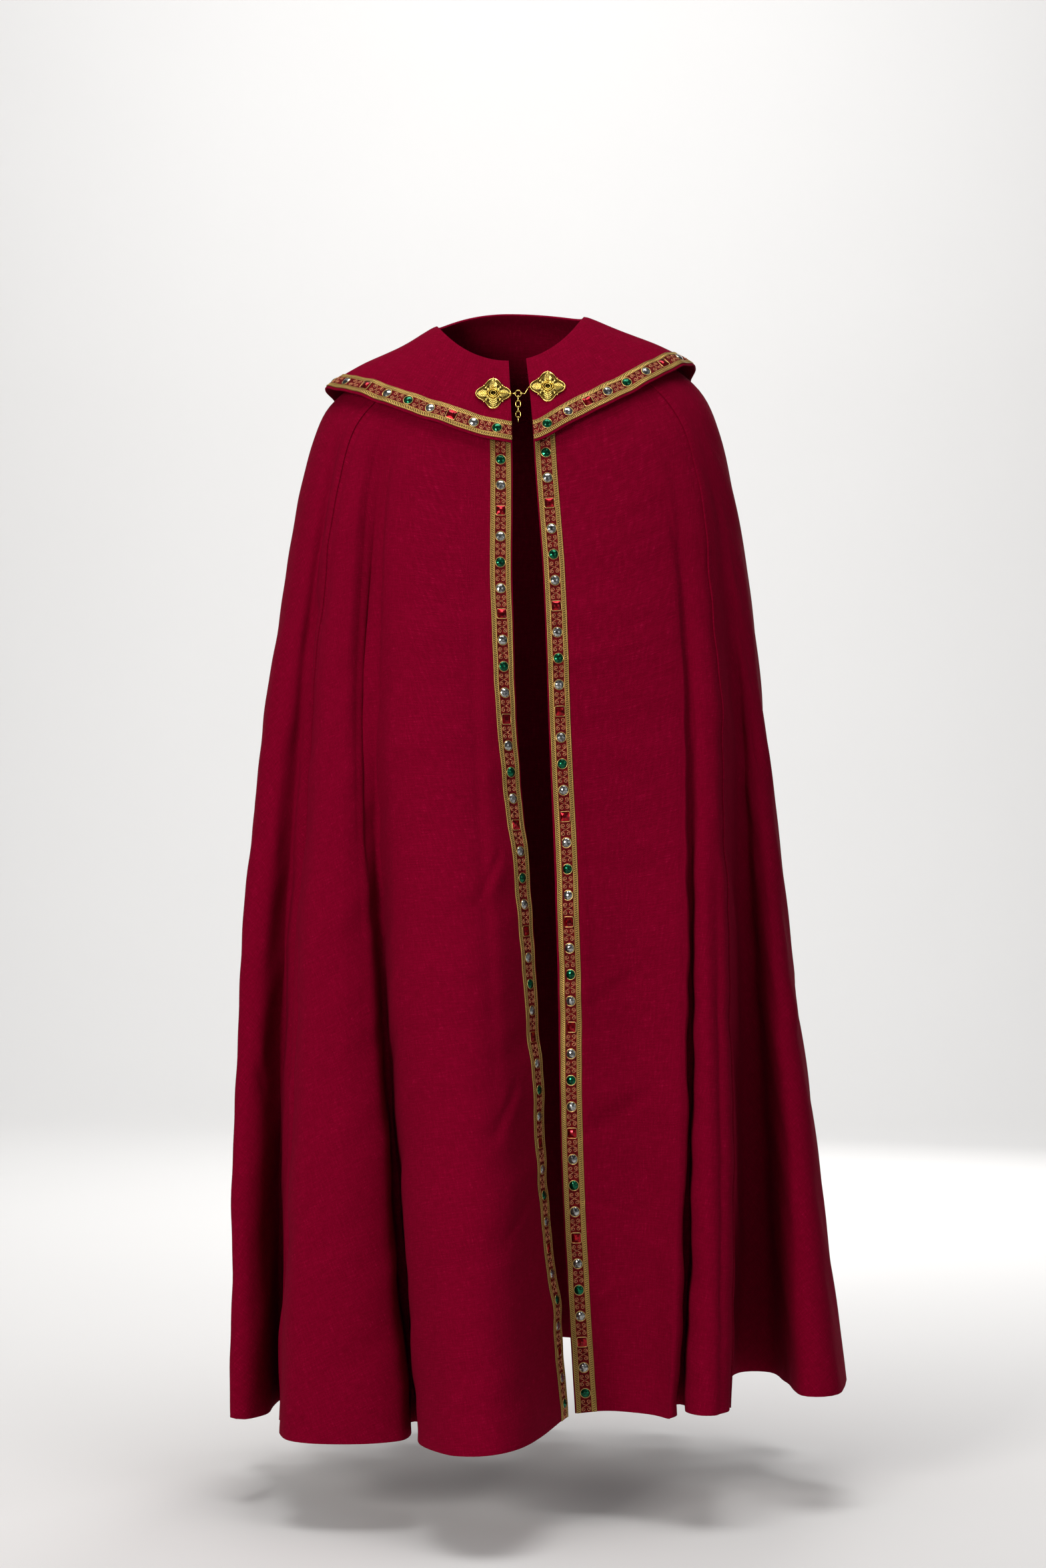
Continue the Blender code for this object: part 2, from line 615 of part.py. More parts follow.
def build_cloth(collection):
    """The three panels of the cloak, the cape over them, and their galloon."""
    cloth = material("crimson_wool", (0.19, 0.0025, 0.019), 0.85)
    braid = material("gold_braid", (0.62, 0.38, 0.13), 0.45, 0.6)
    all_levels = edge_levels(STONES_PER_FRONT)
    levels = np.concatenate([all_levels[:CLOSE_ROWS], all_levels[CLOSE_ROWS::2]])
    wall("back_panel", panel_grid("back", levels, 0.0), panel_grid("back", levels, -CLOTH), cloth, collection)
    for side in ("right", "left"):
        outer, inner = panel_grid(side, levels, 0.0), panel_grid(side, levels, -CLOTH)
        wall("front_panel_" + side, outer, inner, cloth, collection, galloon_under=True)
        bands = [with_midpoints(grid[:, 1:3], CLOSE_ROWS)[1:] for grid in (outer, inner)]
        galloon("front_galloon_" + side, *bands, FIRST_STONE, braid, collection)
    place, level, stand = cape_stops()
    outer, inner = cloth_point(place, level, stand + CLOTH), cloth_point(place, level, stand)
    wall("shoulder_cape", outer, inner, cloth, collection)
    bands = [grid[-3:-1].transpose(1, 0, 2) for grid in (outer, inner)]
    galloon("cape_galloon", *bands, 0, braid, collection)
    return outer, inner


def build_clasp(outer, inner, collection):
    """The plaques, the ring between them, the hook and the loop that hold it, and the chain."""
    brass = material("bright_brass", (0.80, 0.56, 0.20), 0.25, 1.0)
    across, forward, up = Vector((1, 0, 0)), Vector((0, -1, 0)), Vector((0, 0, 1))
    tips = []
    for name, (x, z), side in (("right", PLAQUE_RIGHT_AT, 1), ("left", PLAQUE_LEFT_AT, -1)):
        seat, outward = plaque_seat(x, z, outer, inner)
        plaque("morse_plaque_" + name, seat, outward, brass, collection)
        toward = (side * (across - outward.x * outward)).normalized()
        middle = PLAQUE_PROFILE[0][1] / 2
        tips.append(seat + (PLAQUE_RADIUS + PLAQUE_LOBE) * toward + middle * outward)
    gap = 2 * WIRE + WIRE_CLEARANCE
    centre = Vector((RING_X, tips[0].y, tips[0].z))
    ring = [centre + point for point in oval(RING_RADIUS, RING_RADIUS, across, up)]
    wire("morse_ring", ring, True, brass, collection)

    ring_reach = oval_reach(RING_RADIUS, RING_RADIUS)
    far = tips[0] + (WIRE + WIRE_CLEARANCE) * across
    near = centre - (ring_reach - gap) * across
    loop = [(far + near) / 2 + point for point in oval((near - far).length / 2, LOOP_HALF_WIDTH, across, forward)]
    wire("morse_loop", loop, True, brass, collection)

    bend = centre + (ring_reach - gap) * across
    end = tips[1] - HOOK_CLEARANCE * across
    hook = [end, bend + HOOK_SHANK * across - HOOK_DIP * gap * forward]
    for number in range(HOOK_POINTS):
        angle = math.pi * number / (HOOK_POINTS - 1)
        hook.append(bend + gap * (1 - math.sin(angle)) * across - gap * math.cos(angle) * forward)
    hook.append(bend + HOOK_TIP * across + gap * forward)
    wire("morse_hook", hook, False, brass, collection)

    hinge = bpy.data.objects.new("chain_hinge", None)
    hinge.location = centre - ring_reach * up
    collection.objects.link(hinge)
    link_reach = oval_reach(LINK_HALF_LENGTH, LINK_HALF_WIDTH)
    for number in range(LINKS):
        drop = link_reach - gap + number * (2 * link_reach - gap)
        side = forward if number % 2 == 0 else across
        points = [point - drop * up for point in oval(LINK_HALF_LENGTH, LINK_HALF_WIDTH, up, side)]
        link = wire(f"chain_link_{number + 1}", points, True, brass, collection)
        link.parent = hinge


def main():
    for old in list(bpy.data.objects):
        bpy.data.objects.remove(old)
    collection = bpy.data.collections.new("cope")
    bpy.context.scene.collection.children.link(collection)
    outer, inner = build_cloth(collection)
    build_clasp(outer, inner, collection)


main()
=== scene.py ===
"""Dresses a worn cope: its wool with creases, its stone-set galloon, its gilt clasp, and the studio round it.

Metres, in the frame of the solids: +Z up, the garment faces -Y, and right and left are the wearer's.
The cloth's surface is the solids' own: place is the angle in degrees round the body, level runs from 0
at the neck to 1 at the hem, and a thread is named by its place at the hem.
"""

import math

import bmesh
import bpy
import numpy as np
from bpy.props import FloatProperty, FloatVectorProperty, PointerProperty
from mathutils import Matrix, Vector


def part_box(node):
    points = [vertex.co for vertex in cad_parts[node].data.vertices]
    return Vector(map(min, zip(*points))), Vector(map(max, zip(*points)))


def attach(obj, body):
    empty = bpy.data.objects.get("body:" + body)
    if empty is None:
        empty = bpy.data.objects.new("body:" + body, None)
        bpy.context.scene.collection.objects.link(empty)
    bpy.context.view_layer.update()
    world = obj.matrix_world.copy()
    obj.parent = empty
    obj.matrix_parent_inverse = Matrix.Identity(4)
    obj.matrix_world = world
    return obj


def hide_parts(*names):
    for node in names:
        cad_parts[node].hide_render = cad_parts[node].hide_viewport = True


bl_info = {
    "name": "Cope Dresser",
    "version": (1, 0, 0),
    "blender": (4, 5, 0),
    "location": "3D View > Sidebar > Cope",
    "description": "Dresses a worn cope in wool, galloon, stones and a gilt clasp",
    "category": "Object",
}

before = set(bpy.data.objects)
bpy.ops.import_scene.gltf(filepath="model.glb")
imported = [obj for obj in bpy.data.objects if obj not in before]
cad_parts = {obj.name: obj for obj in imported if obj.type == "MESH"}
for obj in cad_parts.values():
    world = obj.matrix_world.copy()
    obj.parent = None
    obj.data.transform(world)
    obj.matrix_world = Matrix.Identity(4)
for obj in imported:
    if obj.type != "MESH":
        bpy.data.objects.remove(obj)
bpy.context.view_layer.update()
COPE, CHAIN = "cope", "chain"

# Cloth and trim, as the solids have them, and the rounding of the cloth's edges
CLOTH = 0.0020
GALLOON_WIDTH = 0.026
FRONT_MARGIN = 0.0015
CAPE_MARGIN = 0.0030
CLOAK_LENGTH = 1.41
EDGE_ROUNDING = 0.00035

# Stones. A front edge is parted into equal lengths, and from FIRST_STONE on each holds a stone, a shift
# above its middle. The cape's first and last stones lie CAPE_END_SHARE of a pitch in from its ends.
STONES_PER_FRONT = 41
FIRST_STONE = 3
STONE_SHIFT = {"right": 0.0035, "left": 0.0090}
CAPE_STONES = 35
CAPE_END_SHARE = 0.6
STONE_ORDER = ("green", "clear", "red", "clear")

# The side seams' threads, and the fine columns and rows of the cloth. Each panel has a column on every
# fold line that lies further than LINE_MARGIN from its sides, and at least LEAST_COLUMNS between two of
# them. Columns also lie at stops in from the front edge and from a seam.
LEFT_SEAM = 40.0
RIGHT_SEAM = 308.0
LINE_MARGIN = 1.2
FRONT_COLUMN_STEP = 0.0052
BACK_COLUMN_STEP = 0.0100
LEAST_COLUMNS = 3
FRONT_ROWS = 250
BACK_ROWS = 140
COARSE_ROWS = 150
EDGE_STOPS = (0.0, 0.0015, 0.0080, 0.0145, 0.0210, 0.0275)
SEAM_STOPS = (0.0, 0.0020, 0.0045, 0.0080)

# The cloth dips toward a seam. Both panels run a lap past it, and the back one lies a little under.
SEAM_DIP = 0.00006
SEAM_LAP = 0.0003
SEAM_UNDER = 0.0001

# The cape over the shoulders: where its lower edge lies on the cloak, and how far it stands off
CAPE_EDGE = {
    # place, level, stand
    "left_corner": (8, 0.099, 0.009),
    "left_breast": (24, 0.086, 0.008),
    "left_shoulder_front": (50, 0.087, 0.010),
    "left_shoulder": (84, 0.101, 0.019),
    "left_arm_back": (103, 0.108, 0.010),
    "left_blade": (130, 0.124, 0.007),
    "back": (180, 0.146, 0.008),
    "right_blade": (230, 0.128, 0.007),
    "right_arm_back": (258, 0.113, 0.009),
    "right_shoulder": (279, 0.111, 0.020),
    "right_shoulder_front": (308, 0.094, 0.011),
    "right_breast": (336, 0.088, 0.008),
    "right_corner": (361, 0.099, 0.009),
}
CAPE_NECK_STAND = 0.0007
CAPE_SPREAD = 0.7
CAPE_FINE_COLUMNS = 420
CAPE_CLOTH_STEP = 2
CAPE_FINE_ROWS = 110
CAPE_CLOTH_ROWS = 34

# The cape's soft ripples: height, degrees for one wave, how far it slants down the cape, and its shift
CAPE_RIPPLES = ((0.0011, 19.0, 3.0, 0.0), (0.00077, 11.0, -4.0, 2.0))

# The cloak's rings, from the neck down to the hem. half_right and half_left are its reach to either
# side, front_right, front_left and back its depths, the four z values its height at the front, the
# sides and the back, and edge_right and edge_left how far each front edge lies from the centre.
RING_COLUMNS = (
    "level", "half_right", "half_left", "front_right", "front_left", "back",
    "z_front", "z_right", "z_left", "z_back", "edge_right", "edge_left",
)
RINGS = {
    "neck": (0.00, 0.090, 0.096, 0.083, 0.083, 0.062, -0.060, -0.006, 0.006, 0.020, 0.001, 0.023),
    "collarbone": (0.04, 0.130, 0.138, 0.104, 0.104, 0.092, -0.098, -0.039, -0.021, 0.000, 0.003, 0.027),
    "shoulder": (0.08, 0.184, 0.200, 0.126, 0.126, 0.120, -0.146, -0.071, -0.053, -0.045, 0.005, 0.031),
    "shoulder_tip": (0.12, 0.228, 0.245, 0.142, 0.140, 0.142, -0.200, -0.107, -0.091, -0.100, 0.006, 0.034),
    "upper_arm": (0.16, 0.249, 0.269, 0.154, 0.149, 0.156, -0.255, -0.150, -0.140, -0.158, 0.006, 0.038),
    "chest": (0.22, 0.268, 0.288, 0.172, 0.160, 0.172, -0.338, -0.228, -0.224, -0.242, 0.006, 0.044),
    "elbow": (0.36, 0.303, 0.318, 0.207, 0.180, 0.206, -0.524, -0.428, -0.428, -0.440, 0.013, 0.051),
    "hip": (0.56, 0.338, 0.348, 0.253, 0.205, 0.256, -0.790, -0.724, -0.724, -0.730, 0.036, 0.060),
    "knee": (0.78, 0.356, 0.386, 0.300, 0.222, 0.306, -1.083, -1.048, -1.048, -1.052, 0.054, 0.067),
    "hem": (1.00, 0.358, 0.427, 0.335, 0.235, 0.350, -1.375, -1.372, -1.372, -1.370, 0.083, 0.083),
}
FULLNESS = 0.14
HEM_TILT = 0.036

# Crests and valleys, in order from the left front edge round the back to the right one. Each grows
# from the level start. Its line runs down the cloth through place_top, place_mid and place_hem, at the
# start, halfway and at the hem, where it stands at (hem_x, hem_y).
FOLDS = {
    # start, place_top, place_mid, place_hem, hem_x, hem_y
    "left_front_hollow": (0.45, 15, 16, 17, 0.130, -0.165),
    "left_front_crest": (0.10, 36, 31, 23, 0.190, -0.225),
    "left_front_edge": (0.10, 43, 36, 26, 0.208, -0.211),
    "left_side_valley_near": (0.10, 45.6, 37.9, 28.7, 0.2065, -0.152),
    "left_side_valley_far": (0.10, 46.4, 38.6, 29.3, 0.2155, -0.150),
    "left_side_edge": (0.10, 49, 41, 32, 0.217, -0.197),
    "left_side_crest": (0.10, 52, 44, 34.5, 0.238, -0.225),
    "left_seam_crest": (0.10, 54.5, 48.5, 38.5, 0.267, -0.212),
    "left_arm_flank": (0.12, 57.5, 54.5, 44, 0.276, -0.080),
    "left_arm_back": (0.12, 60, 58.5, 49.5, 0.296, 0.035),
    "left_arm_valley": (0.12, 62.5, 62.5, 54.5, 0.340, 0.040),
    "left_arm_edge": (0.12, 65, 68, 61, 0.354, -0.030),
    "left_arm_crest_near": (0.12, 69, 75, 65, 0.366, -0.115),
    "left_arm_crest_far": (0.12, 72.5, 78.3, 68, 0.391, -0.126),
    "left_arm_out": (0.12, 76, 81, 72, 0.413, -0.101),
    "left_side_out": (0.12, 86, 88, 80, 0.429, 0.010),
    "left_back_valley": (0.25, 102, 102, 101, 0.348, 0.122),
    "left_back_crest_near": (0.28, 113, 113, 113, 0.384, 0.204),
    "left_back_crest_far": (0.30, 121, 121, 121, 0.348, 0.262),
    "left_blade_valley": (0.26, 133, 133.5, 134, 0.258, 0.222),
    "left_blade_crest_near": (0.34, 145, 145, 145, 0.244, 0.318),
    "left_blade_crest_far": (0.32, 152, 152, 152, 0.186, 0.344),
    "back_left_valley": (0.30, 163, 163, 163, 0.116, 0.268),
    "back_crest_near": (0.36, 173, 173, 173, 0.082, 0.358),
    "back_crest_far": (0.36, 180, 180, 180, 0.022, 0.366),
    "back_right_valley": (0.25, 191, 191, 191, -0.030, 0.240),
    "right_blade_crest_near": (0.33, 201, 201, 201, -0.092, 0.346),
    "right_blade_crest_far": (0.33, 208, 208, 208, -0.150, 0.342),
    "right_blade_valley": (0.28, 219, 219, 219, -0.182, 0.248),
    "right_back_crest_near": (0.28, 229, 229, 229, -0.250, 0.302),
    "right_back_crest_far": (0.30, 236, 236, 236, -0.296, 0.250),
    "right_back_valley": (0.24, 247, 247, 247, -0.262, 0.166),
    "right_elbow_crest": (0.28, 257, 257, 257, -0.350, 0.142),
    "right_elbow_valley": (0.24, 267, 267, 267, -0.318, 0.034),
    "right_arm_edge": (0.10, 290, 284, 278, -0.348, -0.062),
    "right_arm_crest": (0.10, 296, 288.5, 283, -0.330, -0.078),
    "right_arm_slope": (0.10, 300, 295, 288, -0.309, -0.045),
    "right_arm_valley_near": (0.10, 303.4, 304.9, 299.4, -0.298, 0.048),
    "right_arm_valley_far": (0.10, 304.6, 306.1, 300.6, -0.288, 0.046),
    "right_side_out": (0.10, 308, 315.5, 313, -0.282, -0.150),
    "right_side_near": (0.10, 311, 320.5, 319, -0.264, -0.205),
    "right_side_flat": (0.10, 314, 324.5, 325.5, -0.197, -0.228),
    "right_side_crest": (0.10, 317, 327.5, 332.5, -0.132, -0.218),
    "right_side_edge": (0.10, 320, 330.5, 335.5, -0.119, -0.190),
    "right_side_valley_near": (0.10, 323.5, 333.5, 339.5, -0.121, -0.122),
    "right_side_valley_far": (0.10, 324.5, 334.5, 340.5, -0.112, -0.120),
    "right_front_rise": (0.10, 330, 339.5, 346.5, -0.104, -0.262),
    "right_front_crest": (0.12, 338, 346, 352, -0.058, -0.345),
    "right_front_turn": (0.20, 353, 357.5, 362, 0.012, -0.335),
}
FOLD_SOFTNESS = 0.5

# The front edges turn inward toward the hem: start, hem_x, hem_y
LEFT_EDGE = (0.30, 0.083, -0.155)
RIGHT_EDGE = (0.14, 0.076, -0.175)

# Small creases: the thread and the level of their two ends, their width and their depth. A crease is
# deepest a third of the way along, fades out at both ends, and has a low ridge above it.
CREASES = {
    # thread_near, level_near, thread_far, level_far, width, depth
    "right_band_hip": (368.0, 0.470, 358.5, 0.528, 0.014, 0.0030),
    "right_band_knee": (367.5, 0.678, 358.5, 0.742, 0.017, 0.0032),
    "right_band_shin": (368.5, 0.785, 361.0, 0.822, 0.013, 0.0026),
    "left_band_hip": (15.5, 0.625, 22.0, 0.585, 0.016, 0.0028),
    "left_band_knee": (13.5, 0.744, 25.0, 0.690, 0.021, 0.0042),
    "left_band_calf": (13.2, 0.798, 20.5, 0.822, 0.008, 0.0026),
    "left_band_shin": (15.0, 0.906, 22.0, 0.878, 0.014, 0.0024),
    "right_thigh": (346.0, 0.560, 354.0, 0.500, 0.020, 0.0022),
    "left_chest": (22.0, 0.180, 30.0, 0.240, 0.022, 0.0024),
    "left_side_hip": (62.0, 0.430, 74.0, 0.500, 0.022, 0.0030),
    "left_side_knee": (70.0, 0.700, 84.0, 0.640, 0.024, 0.0032),
    "left_blade": (118.0, 0.300, 134.0, 0.380, 0.024, 0.0034),
    "left_back_knee": (128.0, 0.640, 146.0, 0.700, 0.022, 0.0030),
    "back_waist_left": (150.0, 0.420, 172.0, 0.480, 0.024, 0.0030),
    "back_waist_right": (206.0, 0.500, 186.0, 0.560, 0.022, 0.0028),
    "back_calf": (180.0, 0.780, 200.0, 0.740, 0.020, 0.0030),
    "right_blade": (238.0, 0.320, 222.0, 0.400, 0.024, 0.0034),
    "right_back_knee": (232.0, 0.700, 248.0, 0.660, 0.022, 0.0028),
    "right_side_hip": (276.0, 0.480, 290.0, 0.540, 0.022, 0.0028),
    "right_side_knee": (292.0, 0.720, 279.0, 0.680, 0.020, 0.0028),
}

# Soft troughs down the cloth, in the same columns, with no ridge
TROUGHS = {
    "right_chest": (337.4, 0.100, 336.4, 0.560, 0.044, 0.0190),
    "right_arm": (296.0, 0.130, 300.0, 0.480, 0.032, 0.0075),
    "right_arm_mid": (304.0, 0.280, 307.5, 0.860, 0.030, 0.0200),
    "right_arm_low": (311.0, 0.560, 311.5, 1.350, 0.022, 0.0160),
    "right_band": (364.6, 0.200, 362.6, 0.850, 0.032, 0.0040),
    "left_front": (17.2, 0.300, 21.5, 1.400, 0.084, 0.0260),
    "left_seam": (37.2, 0.480, 37.6, 1.300, 0.026, 0.0100),
}
RIDGE_SHARE = 0.55
RIDGE_OFFSET = 0.9
CREASE_SKEW = 0.65
CREASE_FADE = 1.3

# The cloth's slow waver: metres of cloth across and down for one wave, its shift, and its height
WAVES = (
    (0.260, 0.90, 0.3, 0.0012),
    (0.150, -0.60, 1.9, 0.0008),
    (0.095, 1.20, 4.1, 0.0006),
    (0.340, -0.40, 2.6, 0.0010),
    (0.061, 0.45, 5.3, 0.0004),
    (0.047, -0.31, 0.9, 0.0003),
)
WAVER_FROM = 0.25

# How finely lengths and directions are measured on the surface
SAMPLES = 400
HEM_SAMPLES = 2000
SEARCH_TURN = 25.0
TURN_STEP = 0.2
LEVEL_STEP = 0.002
AXIS_STEP = 0.004

# The flat pattern that the weave follows: the radius of its neck, and its turn over the whole cape
FLAT_NECK = 0.19
CAPE_FLAT_TURN = 3.4

# A galloon's section: how far in from its edge, how high, and how much of the bars' relief it takes
BAND_SECTION = (
    (0.0000, 0.00015, 0.0),
    (0.0003, 0.00110, 0.0),
    (0.0009, 0.00155, 0.0),
    (0.0015, 0.00110, 0.0),
    (0.0018, 0.00085, 0.1),
    (0.0027, 0.00110, 1.0),
    (0.0038, 0.00110, 1.0),
    (0.0047, 0.00085, 0.1),
    (0.0050, 0.00115, 0.0),
    (0.0056, 0.00155, 0.0),
    (0.0062, 0.00115, 0.0),
    (0.0066, 0.00090, 0.0),
)
BAND_STEP = 0.00058
BAND_BED_ROWS = 700
BAND_BED_COLUMNS = 9
BAR_PITCH = 0.0023
BAR_SLANT = 0.55
BAR_RELIEF = 0.0003
PLY_PITCH = 0.00115
PLY_SLANT = 0.9
FIELD_HEIGHT = 0.0009
FIELD_EDGE = 0.0066
FIELD_BLEND = 0.0004

# The row of bars: where it begins and ends in from the edge, each with a soft step
BARS_FROM = (0.0015, 0.0018)
BARS_TO = (0.0047, 0.0050)

# A scroll: where it starts and its centre, along and across from the middle of its gap, its first and
# last radius, how far it turns, and how its wire lies. It needs room from the band's end and a stone.
SCROLL_START = (0.0004, 0.0003)
SCROLL_ALONG = 0.0048
SCROLL_ACROSS = 0.0032
SCROLL_OUTER = 0.0027
SCROLL_INNER = 0.0007
SCROLL_TURN = 8.4
SCROLL_POINTS = 15
SCROLL_WIRE = 0.00042
SCROLL_LIFT = 0.6
SCROLL_REACH = 0.0079
SCROLL_ROOM = 0.0060

# Points that lie nearer than this are joined
JOIN_DISTANCE = 0.00001

# Stones and their settings. A stone's rings of facets rise from its edge to its table: each has a share
# of the stone's size, a height, and 1 where it is turned by half a facet.
ROUND_STONE_RADIUS = 0.0060
SQUARE_STONE_HALF = 0.0060
ROUND_STONE_SIDES = 12
SQUARE_STONE_SIDES = 8
ROUND_FACETS = ((1.0, 0.0, 0), (1.0, 0.0008, 0), (0.80, 0.0019, 1), (0.46, 0.0028, 0), (0.20, 0.0031, 1))
SQUARE_FACETS = ((1.0, 0.0, 0), (1.0, 0.0007, 0), (0.62, 0.0020, 1), (0.22, 0.0027, 0))
STONE_SINK = 0.0002
BEZEL_WIRE = 0.00055
BEZEL_POINTS = 24
BEZEL_CORNER = 0.74

# The clasp
PLAQUE_RADIUS = 0.0197
PLAQUE_LOBE = 0.0032
PLAQUE_ROWS = 74
PLAQUE_COLUMNS = 264
PLAQUE_RIM = 0.0008
PLAQUE_GROUND = 0.0012
# Below this height over the back, fading in over this span, shade is painted into the plaque's stamping
PLAQUE_SHADE_BELOW = 0.0025
PLAQUE_SHADE_OVER = 0.0009

# The plaque's round ridges and grooves, from the rim in to the stud: height, share of the outline, width
PLAQUE_RIDGES = (
    (0.0013, 0.955, 0.040),
    (0.0010, 0.400, 0.160),
    (-0.0014, 0.362, 0.020),
    (0.0018, 0.305, 0.034),
    (-0.0016, 0.240, 0.020),
    (0.0020, 0.180, 0.036),
    (-0.0016, 0.090, 0.045),
    (0.0012, 0.000, 0.040),
)
LEAF_FROM = 0.34
LEAF_LENGTH = 0.54

# The pegs at the plaque's waists
NUB_INSIDE = 0.0012
NUB_OUTSIDE = 0.0013
NUB_HEIGHT = 0.0016
WIRE = 0.0007
WIRE_CLEARANCE = 0.0004
HOOK_SHANK = 0.0062
HOOK_TIP = 0.0046
HOOK_DIP = 0.75
HOOK_CLEARANCE = 0.0006
HOOK_POINTS = 13
FINE_OVAL_POINTS = 48
LINKS = 5

# The camera, level and in front, and where the floor lies
CAMERA_AT = (0.019, -4.0, -0.591)
CAMERA_LENS = 71.5
FLOOR_Z = -1.50

# The studio: how far its floor reaches, where its back wall stands, how high it is, its curve's radius,
# and the power of the wall's light as a share of the floor's
STAGE_HALF = 7.0
STAGE_BACK = 6.5
STAGE_HEIGHT = 7.0
STAGE_CURVE = 2.2
WALL_SHARE = 1.6


def smooth(knots, values, at):
    """A smooth curve through values at knots, one row for each knot, read at the places at."""
    at = np.asarray(at, float)
    shape = (len(knots),) + at.shape
    knots, values = (
        np.broadcast_to(rows.reshape(-1, *[1] * at.ndim) if rows.ndim == 1 else rows, shape)
        for rows in (np.asarray(knots, float), np.asarray(values, float))
    )
    last = len(knots) - 2
    row = np.clip((at >= knots).sum(axis=0) - 1, 0, last)[None]
    slopes = np.empty(shape)
    slopes[1:-1] = (values[2:] - values[:-2]) / (knots[2:] - knots[:-2])
    slopes[0] = (values[1] - values[0]) / (knots[1] - knots[0])
    slopes[-1] = (values[-1] - values[-2]) / (knots[-1] - knots[-2])
    near, far = np.take_along_axis(knots, row, 0)[0], np.take_along_axis(knots, row + 1, 0)[0]
    span = far - near
    t = np.clip((at - near) / span, 0, 1)
    return (
        (1 + 2 * t) * (1 - t) ** 2 * np.take_along_axis(values, row, 0)[0]
        + t * (1 - t) ** 2 * span * np.take_along_axis(slopes, row, 0)[0]
        + t**2 * (3 - 2 * t) * np.take_along_axis(values, row + 1, 0)[0]
        + t**2 * (t - 1) * span * np.take_along_axis(slopes, row + 1, 0)[0]
    )


def ring_columns(level):
    """The ring table's columns at any level, on smooth curves through its rows."""
    rows = np.array(list(RINGS.values()))
    return {name: smooth(rows[:, 0], rows[:, number], level) for number, name in enumerate(RING_COLUMNS)}


def ring_point(place, ring):
    """A point on a ring, with no folds."""
    angle = np.radians(place)
    sine, cosine = np.sin(angle), np.cos(angle)
    left = place < 180
    half = np.where(left, ring["half_left"], ring["half_right"])
    front = np.where(left, ring["front_left"], ring["front_right"])
    depth = np.where(cosine > 0, front, ring["back"])
    x = half * sine * (1 + FULLNESS * cosine**2)
    y = -depth * cosine * (1 + FULLNESS * sine**2)
    z_middle = np.where(cosine > 0, ring["z_front"], ring["z_back"])
    z_side = np.where(left, ring["z_left"], ring["z_right"])
    z = z_middle + (z_side - z_middle) * sine**2 + HEM_TILT / 2 * sine * (1 + cosine**2) * ring["level"]
    return np.stack([x, y, z], axis=-1)


def growth(start, level):
    """How much of a fold has grown at a level, from none at its start to all of it at the hem."""
    grown = np.clip((level - start) / (1 - start), 0, 1)
    return grown**2 / (grown + FOLD_SOFTNESS) * (1 + FOLD_SOFTNESS)


def front_edges(level):
    """The places of the left and the right front edge."""
    ring = ring_columns(level)
    full = 1 + FULLNESS
    left = np.degrees(np.arcsin(ring["edge_left"] / (full * ring["half_left"])))
    right = 360 + np.degrees(np.arcsin(ring["edge_right"] / (full * ring["half_right"])))
    return left, right


def fold_places(level):
    """Where the front edges and the folds between them lie at a level."""
    left_edge, right_edge = front_edges(level)
    places = [left_edge]
    for start, place_top, place_mid, place_hem, _, _ in FOLDS.values():
        grown = np.clip((level - start) / (1 - start), 0, 1)
        left = 1 - grown
        shares = np.array([left * (left - grown), 4 * grown * left, grown * (grown - left)])
        places.append(place_top * shares[0] + place_mid * shares[1] + place_hem * shares[2])
    return np.array(places + [right_edge])


def cloak_point(place, level):
    """A point on the cloak's outer surface."""
    place, level = np.broadcast_arrays(np.asarray(place, float), np.asarray(level, float))
    hem_level = np.array(1.0)
    feet = ring_point(fold_places(hem_level), ring_columns(hem_level))
    folds = [(start, x, y) for start, _, _, _, x, y in FOLDS.values()]
    along_x, along_y = [], []
    for (start, x, y), foot in zip([LEFT_EDGE, *folds, RIGHT_EDGE], feet):
        along_x.append(growth(start, level) * (x - foot[0]))
        along_y.append(growth(start, level) * (y - foot[1]))
    knots = fold_places(level)
    point = ring_point(place, ring_columns(level))
    point[..., 0] += smooth(knots, np.array(along_x), place)
    point[..., 1] += smooth(knots, np.array(along_y), place)
    return point


def cloak_frame(place, level):
    """Points of the cloak's surface and their outward directions."""
    place, level = np.broadcast_arrays(np.asarray(place, float), np.asarray(level, float))
    across = cloak_point(place + TURN_STEP, level) - cloak_point(place - TURN_STEP, level)
    down = cloak_point(place, level + LEVEL_STEP) - cloak_point(place, np.maximum(level - LEVEL_STEP, 0))
    outward = np.cross(down, across)
    return cloak_point(place, level), outward / np.linalg.norm(outward, axis=-1, keepdims=True)


def flat_spot(thread, level, straight=180.0):
    """Where a point lies in the flat half circle, in metres. The thread straight hangs down its middle."""
    threads = np.linspace(*front_edges(1.0), HEM_SAMPLES)
    lengths = lengths_along(cloak_point(threads, 1.0))
    hem_radius = FLAT_NECK + CLOAK_LENGTH
    angle = (np.interp(thread, threads, lengths) - np.interp(straight, threads, lengths)) / hem_radius
    radius = FLAT_NECK + CLOAK_LENGTH * level
    return np.stack(np.broadcast_arrays(radius * np.sin(angle), -radius * np.cos(angle)), axis=-1)


